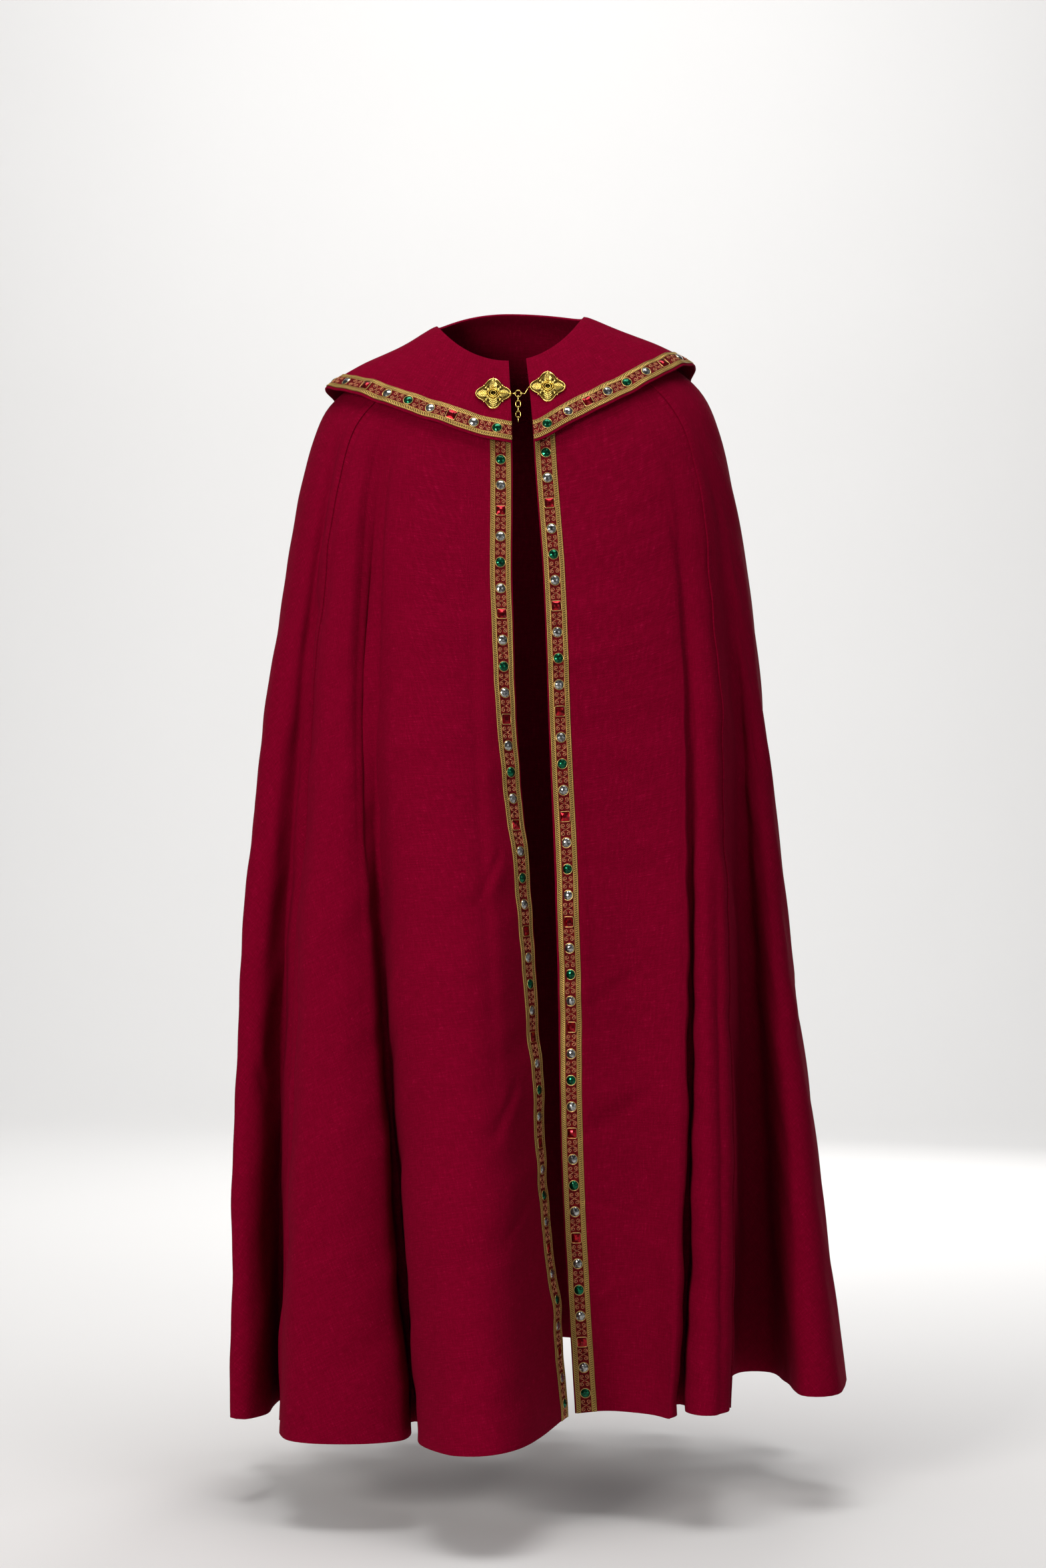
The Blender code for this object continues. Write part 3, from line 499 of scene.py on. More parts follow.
def crease_depth(thread, level):
    """How deep the small creases press the cloth in."""
    spot = flat_spot(thread, level)
    depth = np.zeros(spot.shape[:-1])
    rows = [(*row, RIDGE_SHARE) for row in CREASES.values()] + [(*row, 0.0) for row in TROUGHS.values()]
    for thread_near, level_near, thread_far, level_far, width, deep, ridge_share in rows:
        near = flat_spot(thread_near, level_near)
        run = flat_spot(thread_far, level_far) - near
        length = np.linalg.norm(run)
        along = np.clip((spot - near) @ run / length**2, 0, 1) ** CREASE_SKEW
        rise = np.array([-run[1], run[0]]) * math.copysign(1, run[0]) / length
        aside = (spot - near) @ rise / (width / 2)
        ridge = ridge_share * np.exp(-((aside / 2 - RIDGE_OFFSET) ** 2))
        depth += deep * (np.exp(-(aside**2)) - ridge) * (4 * along * (1 - along)) ** CREASE_FADE
    return depth


def relief(thread, level):
    """How far the cloth stands out from the big folds' surface, by its waver and its small creases."""
    spot = flat_spot(thread, level)
    waver = sum(
        height * np.sin(2 * math.pi * (spot[..., 0] / across + spot[..., 1] / down) + shift)
        for across, down, shift, height in WAVES
    )
    return waver * np.clip(level / WAVER_FROM, 0, 1) - crease_depth(thread, level)


def lengths_along(points):
    """How far along a row of points each of them lies."""
    steps = np.linalg.norm(np.diff(points, axis=0), axis=-1)
    return np.concatenate([np.zeros((1, *steps.shape[1:])), np.cumsum(steps, axis=0)])


def places_from(start, towards, distances, level):
    """The places at distances along the cloth from start, in the direction of towards."""
    places = np.linspace(start, towards, SAMPLES)
    return np.interp(distances, lengths_along(cloak_point(places, level)), places)


def edge_levels(count):
    """Levels that part the left front edge into equal lengths, from the neck to the hem."""
    levels = np.linspace(0, 1, SAMPLES)
    lengths = lengths_along(cloak_point(front_edges(levels)[0], levels))
    return np.interp(np.linspace(0, lengths[-1], count + 1), lengths, levels)


def even_shares(first, last, count, level):
    """Shares from 0 to 1 that part a stretch of the cloth at one level into equal lengths."""
    shares = np.linspace(0, 1, SAMPLES)
    lengths = lengths_along(cloak_point(first + (last - first) * shares, level))
    return np.interp(np.linspace(0, lengths[-1], count + 1), lengths, shares)


def edge_places(side, distances, level):
    """The places at distances in from one front edge."""
    edge = float(front_edges(level)[0 if side == "left" else 1])
    turn = SEARCH_TURN if side == "left" else -SEARCH_TURN
    return places_from(edge, edge + turn, distances, level)


def fine_threads(first, last, step):
    """Threads from first to last: the fold lines between them, and even steps of cloth between these."""
    low, high = sorted((first, last))
    lines = fold_places(1.0)
    stops = [low, *lines[(lines > low + LINE_MARGIN) & (lines < high - LINE_MARGIN)], high]
    threads = [low]
    for near, far in zip(stops, stops[1:]):
        length = lengths_along(cloak_point(np.linspace(near, far, SAMPLES), 1.0))[-1]
        count = max(LEAST_COLUMNS, round(length / step))
        threads.extend(near + (far - near) * even_shares(near, far, count, 1.0)[1:])
    return np.array(threads if first < last else threads[::-1])


class Panel:
    """One panel's columns: their threads, their places at any level, and how far its seams press them in."""

    def __init__(self, side):
        self.side = side
        self.seams = {"left": (LEFT_SEAM,), "right": (RIGHT_SEAM,), "back": (LEFT_SEAM, RIGHT_SEAM)}[side]
        self.rows = BACK_ROWS if side == "back" else FRONT_ROWS
        first = LEFT_SEAM if side == "back" else float(edge_places(side, EDGE_STOPS[-1], 1.0))
        step = BACK_COLUMN_STEP if side == "back" else FRONT_COLUMN_STEP
        self.inner = fine_threads(first, self.seams[-1], step)
        self.threads = self.places(1.0)
        dips = SEAM_DIP * (1 - np.array(SEAM_STOPS) / SEAM_STOPS[-1]) ** 2
        self.dips = np.zeros(len(self.threads))
        self.dips[-len(dips):] = dips[::-1]
        if side == "back":
            self.dips[: len(dips)] = dips
            self.dips[[0, -1]] += SEAM_UNDER

    def places(self, level):
        """The columns' places at a level, with true widths at the front edge and the seams."""
        places = np.interp(self.inner, fold_places(1.0), fold_places(level))
        first, last = places[0], places[-1]
        turn = math.copysign(SEARCH_TURN, last - first)
        end = places_from(last, last - turn, SEAM_STOPS, level)[::-1]
        if self.side == "back":
            start = places_from(first, first + turn, SEAM_STOPS, level)
            start[0] -= (start[1] - start[0]) * SEAM_LAP / SEAM_STOPS[1]
        else:
            start = edge_places(self.side, EDGE_STOPS, level)
        share = (places - first) / (last - first)
        places += (start[-1] - first) * (1 - share) + (end[0] - last) * share
        end[-1] += (end[-1] - end[-2]) * SEAM_LAP / SEAM_STOPS[1]
        return np.concatenate([start[:-1], places, end[1:]])

    def grid(self):
        """The panel's outer surface, a row for each level, and its flat pattern in metres."""
        levels = edge_levels(self.rows)
        places = np.array([self.places(level) for level in levels])
        level = np.broadcast_to(levels[:, None], places.shape)
        points, outward = cloak_frame(places, level)
        lift = relief(self.threads, level) - self.dips
        straight = 180.0 if self.side == "back" else self.threads[0]
        return points + lift[..., None] * outward, flat_spot(self.threads, level, straight)


class Cape:
    """The shoulder cape's outer surface, sampled finely from its neck to its lower edge."""

    def __init__(self):
        place_there, level_there, stand_there = np.array(list(CAPE_EDGE.values()), float).T
        front_level = level_there[0]
        self.shares = even_shares(*front_edges(front_level), CAPE_FINE_COLUMNS, front_level)
        down = np.linspace(0, 1, CAPE_FINE_ROWS)[:, None]
        first, last = front_edges(front_level * down)
        place = first + (last - first) * self.shares
        edge_level = smooth(place_there, level_there, place[-1])
        edge_stand = smooth(place_there, stand_there, place[-1])
        stand = CAPE_NECK_STAND + (edge_stand - CAPE_NECK_STAND) * down**CAPE_SPREAD + CLOTH
        points, self.outward = cloak_frame(place, edge_level * down)
        ripple = down * sum(
            height * np.sin(2 * math.pi * place / wave + slant * down + shift)
            for height, wave, slant, shift in CAPE_RIPPLES
        )
        self.points = points + (stand + ripple)[..., None] * self.outward
        self.lengths = lengths_along(self.points)

    def rows(self, stops):
        """Points and outward directions at rows of distances from the neck, one distance a column."""
        fine = np.arange(CAPE_FINE_ROWS)
        row = np.array([np.interp(*pair, fine) for pair in zip(stops.T, self.lengths.T)]).T
        above, column = np.minimum(row.astype(int), CAPE_FINE_ROWS - 2), np.arange(row.shape[1])
        share = (row - above)[..., None]
        return [
            values[above, column] * (1 - share) + values[above + 1, column] * share
            for values in (self.points, self.outward)
        ]


class Ribbon:
    """The bed that a galloon lies on: points and outward directions along it and across it."""

    def __init__(self, points, outward):
        self.points, self.outward = points, outward
        self.along = lengths_along(points[:, points.shape[1] // 2])
        self.length = self.along[-1]

    def at(self, along, across, height):
        """Points at distances along the band and across it from its middle, raised by height."""
        along, across, height = np.broadcast_arrays(along, across, height)
        rows, columns = self.points.shape[:2]
        row = np.interp(along, self.along, np.arange(rows))
        column = np.clip(across / GALLOON_WIDTH + 0.5, 0, 1) * (columns - 1)
        i, j = np.minimum(row.astype(int), rows - 2), np.minimum(column.astype(int), columns - 2)
        s, t = (row - i)[..., None], (column - j)[..., None]
        spot, outward = (
            (values[i, j] * (1 - t) + values[i, j + 1] * t) * (1 - s)
            + (values[i + 1, j] * (1 - t) + values[i + 1, j + 1] * t) * s
            for values in (self.points, self.outward)
        )
        return spot + height[..., None] * outward

    def axes(self, along):
        """The middle of the band, its directions along and across, and its outward one."""
        middle = self.at(along, 0.0, 0.0)
        ahead = self.at(along + AXIS_STEP, 0.0, 0.0) - self.at(along - AXIS_STEP, 0.0, 0.0)
        aside = self.at(along, AXIS_STEP, 0.0) - self.at(along, -AXIS_STEP, 0.0)
        ahead, aside = Vector(ahead).normalized(), Vector(aside)
        outward = Vector(self.at(along, 0.0, 1.0)) - Vector(middle)
        outward = (outward - outward.dot(ahead) * ahead).normalized()
        across = outward.cross(ahead).normalized()
        return Vector(middle), ahead, across * math.copysign(1, across.dot(aside)), outward


def front_ribbon(side):
    """The bed of a front edge's galloon, and how far along it each of its stones lies."""
    stops = FRONT_MARGIN + GALLOON_WIDTH * np.linspace(0, 1, BAND_BED_COLUMNS)
    coarse = edge_levels(COARSE_ROWS)
    places = np.array([edge_places(side, stops, level) for level in coarse])
    stone_levels = edge_levels(STONES_PER_FRONT)
    levels = np.linspace(stone_levels[1], 1.0, BAND_BED_ROWS)
    places = np.stack([np.interp(levels, coarse, column) for column in places.T], axis=1)
    points, outward = cloak_frame(places, levels[:, None])
    lift = relief(edge_places(side, stops, 1.0), np.broadcast_to(levels[:, None], places.shape))
    ribbon = Ribbon(points + lift[..., None] * outward, outward)
    ends = np.interp(stone_levels[1 + FIRST_STONE:], levels, ribbon.along)
    return ribbon, (ends[:-1] + ends[1:]) / 2 - STONE_SHIFT[side]


def cape_ribbon(cape):
    """The bed of the cape's galloon, and how far along it each of its stones lies."""
    inward = CAPE_MARGIN + GALLOON_WIDTH * np.linspace(1, 0, BAND_BED_COLUMNS)[:, None]
    points, outward = cape.rows(cape.lengths[-1] - inward)
    ribbon = Ribbon(points.transpose(1, 0, 2), outward.transpose(1, 0, 2))
    shares = (np.arange(CAPE_STONES) + CAPE_END_SHARE) / (CAPE_STONES - 1 + 2 * CAPE_END_SHARE)
    return ribbon, np.interp(shares * CAPE_FINE_COLUMNS, np.arange(CAPE_FINE_COLUMNS + 1), ribbon.along)


class Value:
    """A socket of a material, with Python's operators for its arithmetic."""

    def __init__(self, finish, socket):
        self.finish, self.socket = finish, socket

    def maths(self, operation, *others):
        """A Math node on this value and others."""
        return self.finish.node("ShaderNodeMath", {"operation": operation}, [self, *others])

    def __add__(self, other):
        return self.maths("ADD", other)

    def __sub__(self, other):
        return self.maths("SUBTRACT", other)

    def __mul__(self, other):
        return self.maths("MULTIPLY", other)

    def __rsub__(self, other):
        return self.finish.node("ShaderNodeMath", {"operation": "SUBTRACT"}, [other, self])

    __radd__ = __add__
    __rmul__ = __mul__

    def sine(self):
        return self.maths("SINE")

    def least(self, other):
        return self.maths("MINIMUM", other)

    def step(self, low, high):
        """0 below low, 1 above high, and a soft step between them."""
        ends = {"Value": self, "From Min": low, "From Max": high}
        return self.finish.node("ShaderNodeMapRange", {"interpolation_type": "SMOOTHSTEP"}, ends)


class Finish:
    """A Principled material and its nodes."""

    def __init__(self, name):
        self.material = bpy.data.materials.new(name)
        self.material.use_nodes = True
        self.tree = self.material.node_tree
        self.shader = self.tree.nodes["Principled BSDF"]

    def node(self, kind, settings=None, inputs=(), output=0):
        """A node with its settings and inputs, by number or by name. Gives one of its outputs."""
        made = self.tree.nodes.new(kind)
        for name, value in (settings or {}).items():
            setattr(made, name, value)
        pairs = inputs.items() if isinstance(inputs, dict) else enumerate(inputs)
        for name, value in pairs:
            self.join(made.inputs[name], value)
        return Value(self, made.outputs[output])

    def join(self, socket, value):
        """Links a value to a socket, or sets the socket to it."""
        if isinstance(value, Value):
            self.tree.links.new(value.socket, socket)
        elif socket.type == "RGBA" and len(value) == 3:
            socket.default_value = (*value, 1.0)
        else:
            socket.default_value = value

    def set(self, **inputs):
        """Sets the shader's inputs, whose names are written with _ for a space."""
        for name, value in inputs.items():
            self.join(self.shader.inputs[name.replace("_", " ")], value)

    def mix(self, share, low, high):
        """A colour between two others."""
        return self.node("ShaderNodeMix", {"data_type": "RGBA"}, {0: share, 6: low, 7: high}, output=2)

    def flat(self, name):
        """A UV map, and its two values."""
        uv = self.node("ShaderNodeUVMap", {"uv_map": name})
        across = self.node("ShaderNodeSeparateXYZ", {}, [uv])
        return uv, across, Value(self, across.socket.node.outputs["Y"])

    def place(self):
        """Object coordinates."""
        return self.node("ShaderNodeTexCoord", output="Object")

    def noise(self, where, size, detail=2.0, stretch=(1.0, 1.0, 1.0)):
        """Noise whose grains have a size in metres."""
        scale = [part / size for part in stretch]
        scaled = self.node("ShaderNodeVectorMath", {"operation": "MULTIPLY"}, [where, scale])
        return self.node("ShaderNodeTexNoise", {}, {"Vector": scaled, "Scale": 1.0, "Detail": detail})

    def bump(self, height, distance, strength=1.0):
        """Joins a height to the shader's normal."""
        made = self.node("ShaderNodeBump", {}, {"Height": height, "Distance": distance, "Strength": strength})
        self.join(self.shader.inputs["Normal"], made)


def wool(look):
    """Matte crimson wool: a fine weave with uneven, slightly lighter threads both ways, and a soft nap."""
    finish = Finish("crimson_wool")
    uv, across, down = finish.flat("flat")
    warp = finish.noise(uv, look.thread_width, 3.0, (1.0, 0.09, 1.0))
    weft = finish.noise(uv, look.thread_width, 3.0, (0.09, 1.0, 1.0))
    cloud = finish.noise(uv, 0.11, 2.0)
    fleck = finish.noise(uv, 0.0021, 1.0)
    threads = warp.step(0.35, 0.75) * 0.5 + weft.step(0.35, 0.75) * 0.5
    tone = threads * 0.75 + fleck.step(0.42, 0.72) * 0.25
    ground = finish.mix(tone, look.shade_colour, look.cloth_colour)
    lit = finish.mix(tone.step(0.55, 1.0) * 0.5, ground, look.fleck_colour)
    finish.set(Base_Color=finish.mix(cloud.step(0.3, 0.7) * 0.12, lit, look.shade_colour))
    finish.set(Roughness=0.92, Specular_IOR_Level=0.02, Sheen_Weight=look.nap, Sheen_Roughness=0.45)
    finish.set(Sheen_Tint=(0.9, 0.12, 0.22))
    turn = 2 * math.pi / look.weave_pitch
    weave = (across * turn).sine() * (down * turn).sine()
    finish.bump(weave * 0.4 + warp * 0.8 + weft * 0.8, 0.0005, 0.55)
    return finish.material


def gold_braid(look):
    """The galloon: two gold cords and a row of slanting gold bars at each edge, with shade painted between
    the plies and between the bars, and a red woven field.
    """
    finish = Finish("gold_braid")
    uv, across, along = finish.flat("band")
    inward = across.least(GALLOON_WIDTH - across)
    field = inward.step(FIELD_EDGE - FIELD_BLEND, FIELD_EDGE)
    bars = inward.step(*BARS_FROM) * (1 - inward.step(*BARS_TO))
    slanted = along + inward * BAR_SLANT
    bar = (slanted * (2 * math.pi / BAR_PITCH)).sine().step(-0.55, 0.35)
    twist = ((along - inward * PLY_SLANT) * (2 * math.pi / PLY_PITCH)).sine()
    ply = twist.step(-0.9, 0.3)
    # Painted shade: gold_shade darkens the cord where its plies turn in
    gold = finish.mix(ply, look.gold_shade, look.gold_colour)
    # Painted shade in the gaps between the bars
    barred = finish.mix(bar, look.bar_painted_shade, look.bar_colour)
    weave = finish.noise(uv, 0.0011, 2.0, (1.0, 0.35, 1.0))
    ground = finish.mix(weave.step(0.35, 0.65), look.field_shade, look.field_colour)
    edge = finish.mix(bars, gold, barred)
    finish.set(Base_Color=finish.mix(field, edge, ground))
    finish.set(Metallic=(1 - field) * 0.75, Roughness=0.42 + field * 0.4, Specular_IOR_Level=0.1)
    finish.bump(ply * (1 - bars) * (1 - field) + bar * bars * 1.3 + weave * field * 0.6, 0.00035, 0.8)
    return finish.material


def bright_metal(name, colour, shade, roughness):
    """Polished gilt metal with a faint unevenness, and shade painted where it was stamped deep."""
    finish = Finish(name)
    wear = finish.noise(finish.place(), 0.006, 3.0)
    # The depth attribute, where a mesh has one, paints shade into its deep stamping with the shade colour
    depth = finish.node("ShaderNodeAttribute", {"attribute_name": "depth"}, output="Fac")
    tone = finish.mix(wear.step(0.3, 0.7) * 0.25, colour, [part * 0.8 for part in colour])
    finish.set(Base_Color=finish.mix(depth, tone, shade), Metallic=1.0)
    finish.set(Roughness=wear * 0.12 + depth * 0.25 + roughness)
    return finish.material


def gold_thread(look):
    """The twisted pink-gold thread of the scrolls."""
    finish = Finish("scroll_thread")
    grain = finish.noise(finish.place(), 0.0009, 1.0)
    finish.set(Base_Color=finish.mix(grain.step(0.35, 0.65), look.scroll_shade, look.scroll_colour))
    finish.set(Metallic=0.45, Roughness=0.4, Specular_IOR_Level=0.2)
    return finish.material


def glass(name, colour, deep, metallic, roughness):
    """A foil-backed glass stone, with an uneven depth of colour."""
    finish = Finish(name)
    cloud = finish.noise(finish.place(), 0.0035, 2.0)
    finish.set(Base_Color=finish.mix(cloud.step(0.3, 0.7), deep, colour))
    finish.set(Metallic=metallic, Roughness=roughness, Coat_Weight=0.12, Coat_Roughness=0.04)
    return finish.material


def plain(name, colour, roughness):
    """A plain matte surface with the faintest mottle, for the studio."""
    finish = Finish(name)
    cloud = finish.noise(finish.place(), 0.4, 2.0)
    finish.set(Base_Color=finish.mix(cloud, [part * 0.985 for part in colour], colour), Roughness=roughness)
    return finish.material


def merged(data, sides=0):
    """Joins a mesh's doubled points, closes its holes of up to so many sides, and turns its faces out."""
    mesh = bmesh.new()
    mesh.from_mesh(data)
    bmesh.ops.remove_doubles(mesh, verts=mesh.verts, dist=JOIN_DISTANCE)
    if sides:
        bmesh.ops.holes_fill(mesh, edges=mesh.edges, sides=sides)
    bmesh.ops.recalc_face_normals(mesh, faces=mesh.faces)
    mesh.to_mesh(data)
    mesh.free()


def grid_mesh(name, points, flat, uv_name, merge=False):
    """A grid of points as a mesh with its UV map. merge closes it and turns its faces outward."""
    rows, columns = points.shape[:2]
    mesh = bmesh.new()
    bmesh.ops.create_grid(mesh, x_segments=columns - 1, y_segments=rows - 1, size=1)
    data = bpy.data.meshes.new(name)
    mesh.to_mesh(data)
    mesh.free()
    data.vertices.foreach_set("co", points.reshape(-1))
    corners = np.empty(len(data.loops), int)
    data.loops.foreach_get("vertex_index", corners)
    layer = data.uv_layers.new(name=uv_name)
    layer.uv.foreach_set("vector", flat.reshape(-1, 2)[corners].reshape(-1))
    if merge:
        merged(data, columns)
    data.update()
    data.shade_smooth()
    return data


def add_piece(name, data, materials, body, nodes=()):
    """Puts a mesh into the scene as a piece that rides on a body and stands for nodes."""
    piece = bpy.data.objects.new(name, data)
    for material in materials:
        data.materials.append(material)
    bpy.context.scene.collection.objects.link(piece)
    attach(piece, body)
    if nodes:
        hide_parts(*nodes)
    return piece


def cloth_piece(name, points, flat, outward, material, node):
    """A cloth piece: a thin shell with rounded edges on its solid's form."""
    data = grid_mesh(name, points, flat, "flat")
    face = data.polygons[len(data.polygons) // 2]
    if face.normal.dot(Vector(outward)) < 0:
        data.flip_normals()
    piece = add_piece(name, data, [material], COPE, [node])
    shell = piece.modifiers.new("thickness", "SOLIDIFY")
    shell.thickness = CLOTH
    shell.offset = -1
    shell.use_quality_normals = True
    edge = piece.modifiers.new("rounded_edges", "BEVEL")
    edge.width = EDGE_ROUNDING
    edge.segments = 2
    edge.limit_method = "ANGLE"
    edge.angle_limit = math.radians(60)
    return piece


def wires(name, lines, radius, sides, closed):
    """Round wires through lists of points, as one mesh. sides is the curve's bevel resolution."""
    curve = bpy.data.curves.new(name, "CURVE")
    curve.dimensions = "3D"
    curve.bevel_depth = radius
    curve.bevel_resolution = sides
    curve.use_fill_caps = not closed
    for points in lines:
        spline = curve.splines.new("POLY")
        spline.points.add(len(points) - 1)
        spline.points.foreach_set("co", np.column_stack([points, np.ones(len(points))]).reshape(-1))
        spline.use_cyclic_u = closed
    guide = bpy.data.objects.new(name + "_path", curve)
    bpy.context.scene.collection.objects.link(guide)
    bpy.context.view_layer.update()
    data = bpy.data.meshes.new_from_object(guide.evaluated_get(bpy.context.evaluated_depsgraph_get()))
    bpy.data.objects.remove(guide)
    merged(data)
    data.shade_smooth()
    data.name = name
    return data


def band_mesh(name, ribbon):
    """A galloon's mesh: its section of cords, bars and field, closed beneath, along its bed."""
    section = np.array(BAND_SECTION)
    half = GALLOON_WIDTH / 2
    middle = np.array([[half, FIELD_HEIGHT, 0.0]])
    mirrored = section[::-1] * (-1, 1, 1) + (GALLOON_WIDTH, 0, 0)
    whole = np.concatenate([section, middle, mirrored, section[:1]])
    count = int(ribbon.length / BAND_STEP)
    along = np.linspace(0, ribbon.length, count + 1)[:, None]
    inward = np.minimum(whole[:, 0], GALLOON_WIDTH - whole[:, 0])
    wave = np.sin(2 * math.pi * (along + inward * BAR_SLANT) / BAR_PITCH)
    height = whole[:, 1] + BAR_RELIEF * whole[:, 2] * wave
    points = ribbon.at(along, whole[:, 0] - half, height)
    flat = np.stack(np.broadcast_arrays(whole[:, 0], along), axis=-1)
    return grid_mesh(name, points, flat, "band", merge=True)


def scroll_lines(ribbon, middles):
    """The scrolls' lines: four in each gap between stones, from its middle out to its corners."""
    reach = math.hypot(SCROLL_ALONG, SCROLL_ACROSS)
    toward = math.atan2(-SCROLL_ACROSS, -SCROLL_ALONG)
    start = toward - math.acos(SCROLL_OUTER / reach)
    turned = np.linspace(0, 1, SCROLL_POINTS)
    radius = SCROLL_OUTER + (SCROLL_INNER - SCROLL_OUTER) * turned
    angle = start - SCROLL_TURN * turned
    along = np.append(SCROLL_START[0], SCROLL_ALONG + radius * np.cos(angle))
    across = np.append(SCROLL_START[1], SCROLL_ACROSS + radius * np.sin(angle))
    height = FIELD_HEIGHT + SCROLL_WIRE * SCROLL_LIFT
    lines = []
    for middle in middles:
        for way in (-1, 1):
            for side in (-1, 1):
                lines.append(ribbon.at(middle + way * along, side * across, height))
    return lines


def facets(kind):
    """One cut stone about the origin, facing +Z: rings of facets that rise to a small table."""
    mesh = bmesh.new()
    square = kind == "red"
    sides = SQUARE_STONE_SIDES if square else ROUND_STONE_SIDES
    size = SQUARE_STONE_HALF if square else ROUND_STONE_RADIUS
    bmesh.ops.create_circle(mesh, cap_ends=True, segments=sides, radius=1)
    (face,) = mesh.faces
    for number, (share, height, turned) in enumerate(SQUARE_FACETS if square else ROUND_FACETS):
        if number:
            face = bmesh.ops.extrude_discrete_faces(mesh, faces=[face])["faces"][0]
        for corner, vert in enumerate(face.verts):
            angle = 2 * math.pi * (corner + turned / 2) / sides
            x, y = math.cos(angle), math.sin(angle)
            reach = 1 / max(abs(x), abs(y)) if square and not turned else 1.0
            vert.co = (size * share * reach * x, size * share * reach * y, height)
    bmesh.ops.triangulate(mesh, faces=mesh.faces)
    return mesh


def stones_mesh(name, ribbon, stones):
    """All the stones of one galloon in one mesh, with a material for each colour."""
    order = ("green", "clear", "red")
    cut = {}
    for kind in order:
        made = facets(kind)
        cut[kind] = bpy.data.meshes.new(kind)
        made.to_mesh(cut[kind])
        made.free()
    mesh = bmesh.new()
    for kind, along in stones:
        middle, ahead, aside, outward = ribbon.axes(along)
        before = len(mesh.verts), len(mesh.faces)
        mesh.from_mesh(cut[kind])
        mesh.verts.ensure_lookup_table()
        mesh.faces.ensure_lookup_table()
        for vert in mesh.verts[before[0]:]:
            x, y, z = vert.co
            vert.co = middle + x * ahead + y * aside + (z + FIELD_HEIGHT - STONE_SINK) * outward
        for face in mesh.faces[before[1]:]:
            face.material_index = order.index(kind)
    bmesh.ops.recalc_face_normals(mesh, faces=mesh.faces)
    data = bpy.data.meshes.new(name)
    mesh.to_mesh(data)
    mesh.free()
    for made in cut.values():
        bpy.data.meshes.remove(made)
    return data


def bezel_lines(ribbon, stones):
    """The outline of each stone's gold setting."""
    lines = []
    for kind, along in stones:
        middle, ahead, aside, outward = ribbon.axes(along)
        line = []
        for number in range(BEZEL_POINTS):
            angle = 2 * math.pi * (number + 0.5) / BEZEL_POINTS
            x, y = math.cos(angle), math.sin(angle)
            reach = ROUND_STONE_RADIUS + BEZEL_WIRE * 0.4
            if kind == "red":
                reach = (SQUARE_STONE_HALF + BEZEL_WIRE * 0.5) / max(abs(x), abs(y), BEZEL_CORNER)
            line.append(middle + reach * (x * ahead + y * aside) + (FIELD_HEIGHT + BEZEL_WIRE) * outward)
        lines.append(line)
    return lines


class PlaqueSeat:
    """Where a plaque's solid lies: the middle of its back, its outward direction, and its two others."""

    def __init__(self, node):
        spots = np.array([vert.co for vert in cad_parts[node].data.vertices])
        middle = spots.mean(axis=0)
        outward = np.linalg.svd(spots - middle)[2][2]
        outward = outward * math.copysign(1, -outward[1])
        heights = spots @ outward
        back = spots[heights < heights.min() + 0.0002]
        corners = np.unique(back.round(6), axis=0)
        self.middle = Vector(corners.mean(axis=0))
        self.outward = Vector(outward)
        self.right = (Vector((1, 0, 0)) - self.outward.x * self.outward).normalized()
        self.up = self.outward.cross(self.right)

    def at(self, x, y, height):
        """A point of the plaque by its own x and y and its height over the back."""
        return self.middle + x * self.right + y * self.up + height * self.outward


def bell(value, middle, width):
    """1 at the middle, falling off smoothly to either side."""
    return np.exp(-(((value - middle) / width) ** 2))


def plaque_height(share, angle):
    """A plaque's height over its back, at a share of its outline and an angle: leaves, buds and rings."""
    lobe = np.abs((np.degrees(angle) + 45) % 90 - 45) / 45
    height = np.full(np.broadcast(share, angle).shape, PLAQUE_GROUND)
    for high, middle, width in PLAQUE_RIDGES:
        height += high * bell(share, middle, width)
    spread = 0.62 * np.sin(np.clip((share - LEAF_FROM) / LEAF_LENGTH, 0, 1) * math.pi) ** 0.6 + 1e-6
    leaf = np.clip(1 - (lobe / spread) ** 2, 0, 1)
    rib = 0.0007 * bell(lobe, 0.0, 0.10)
    teeth = 0.0006 * np.cos(2 * math.pi * (share * 9.0 + lobe * 1.6))
    height += leaf**0.6 * (0.0014 + rib * 0.8 + teeth) * (share > LEAF_FROM)
    bud = bell(lobe, 1.0, 0.20) * bell(share, 0.70, 0.10)
    height += 0.0016 * bud - 0.0009 * bell(lobe, 0.72, 0.09) * bell(share, 0.60, 0.07)
    petals = 0.5 + 0.5 * np.cos(angle * 12)
    return height + 0.0008 * petals * bell(share, 0.415, 0.040)


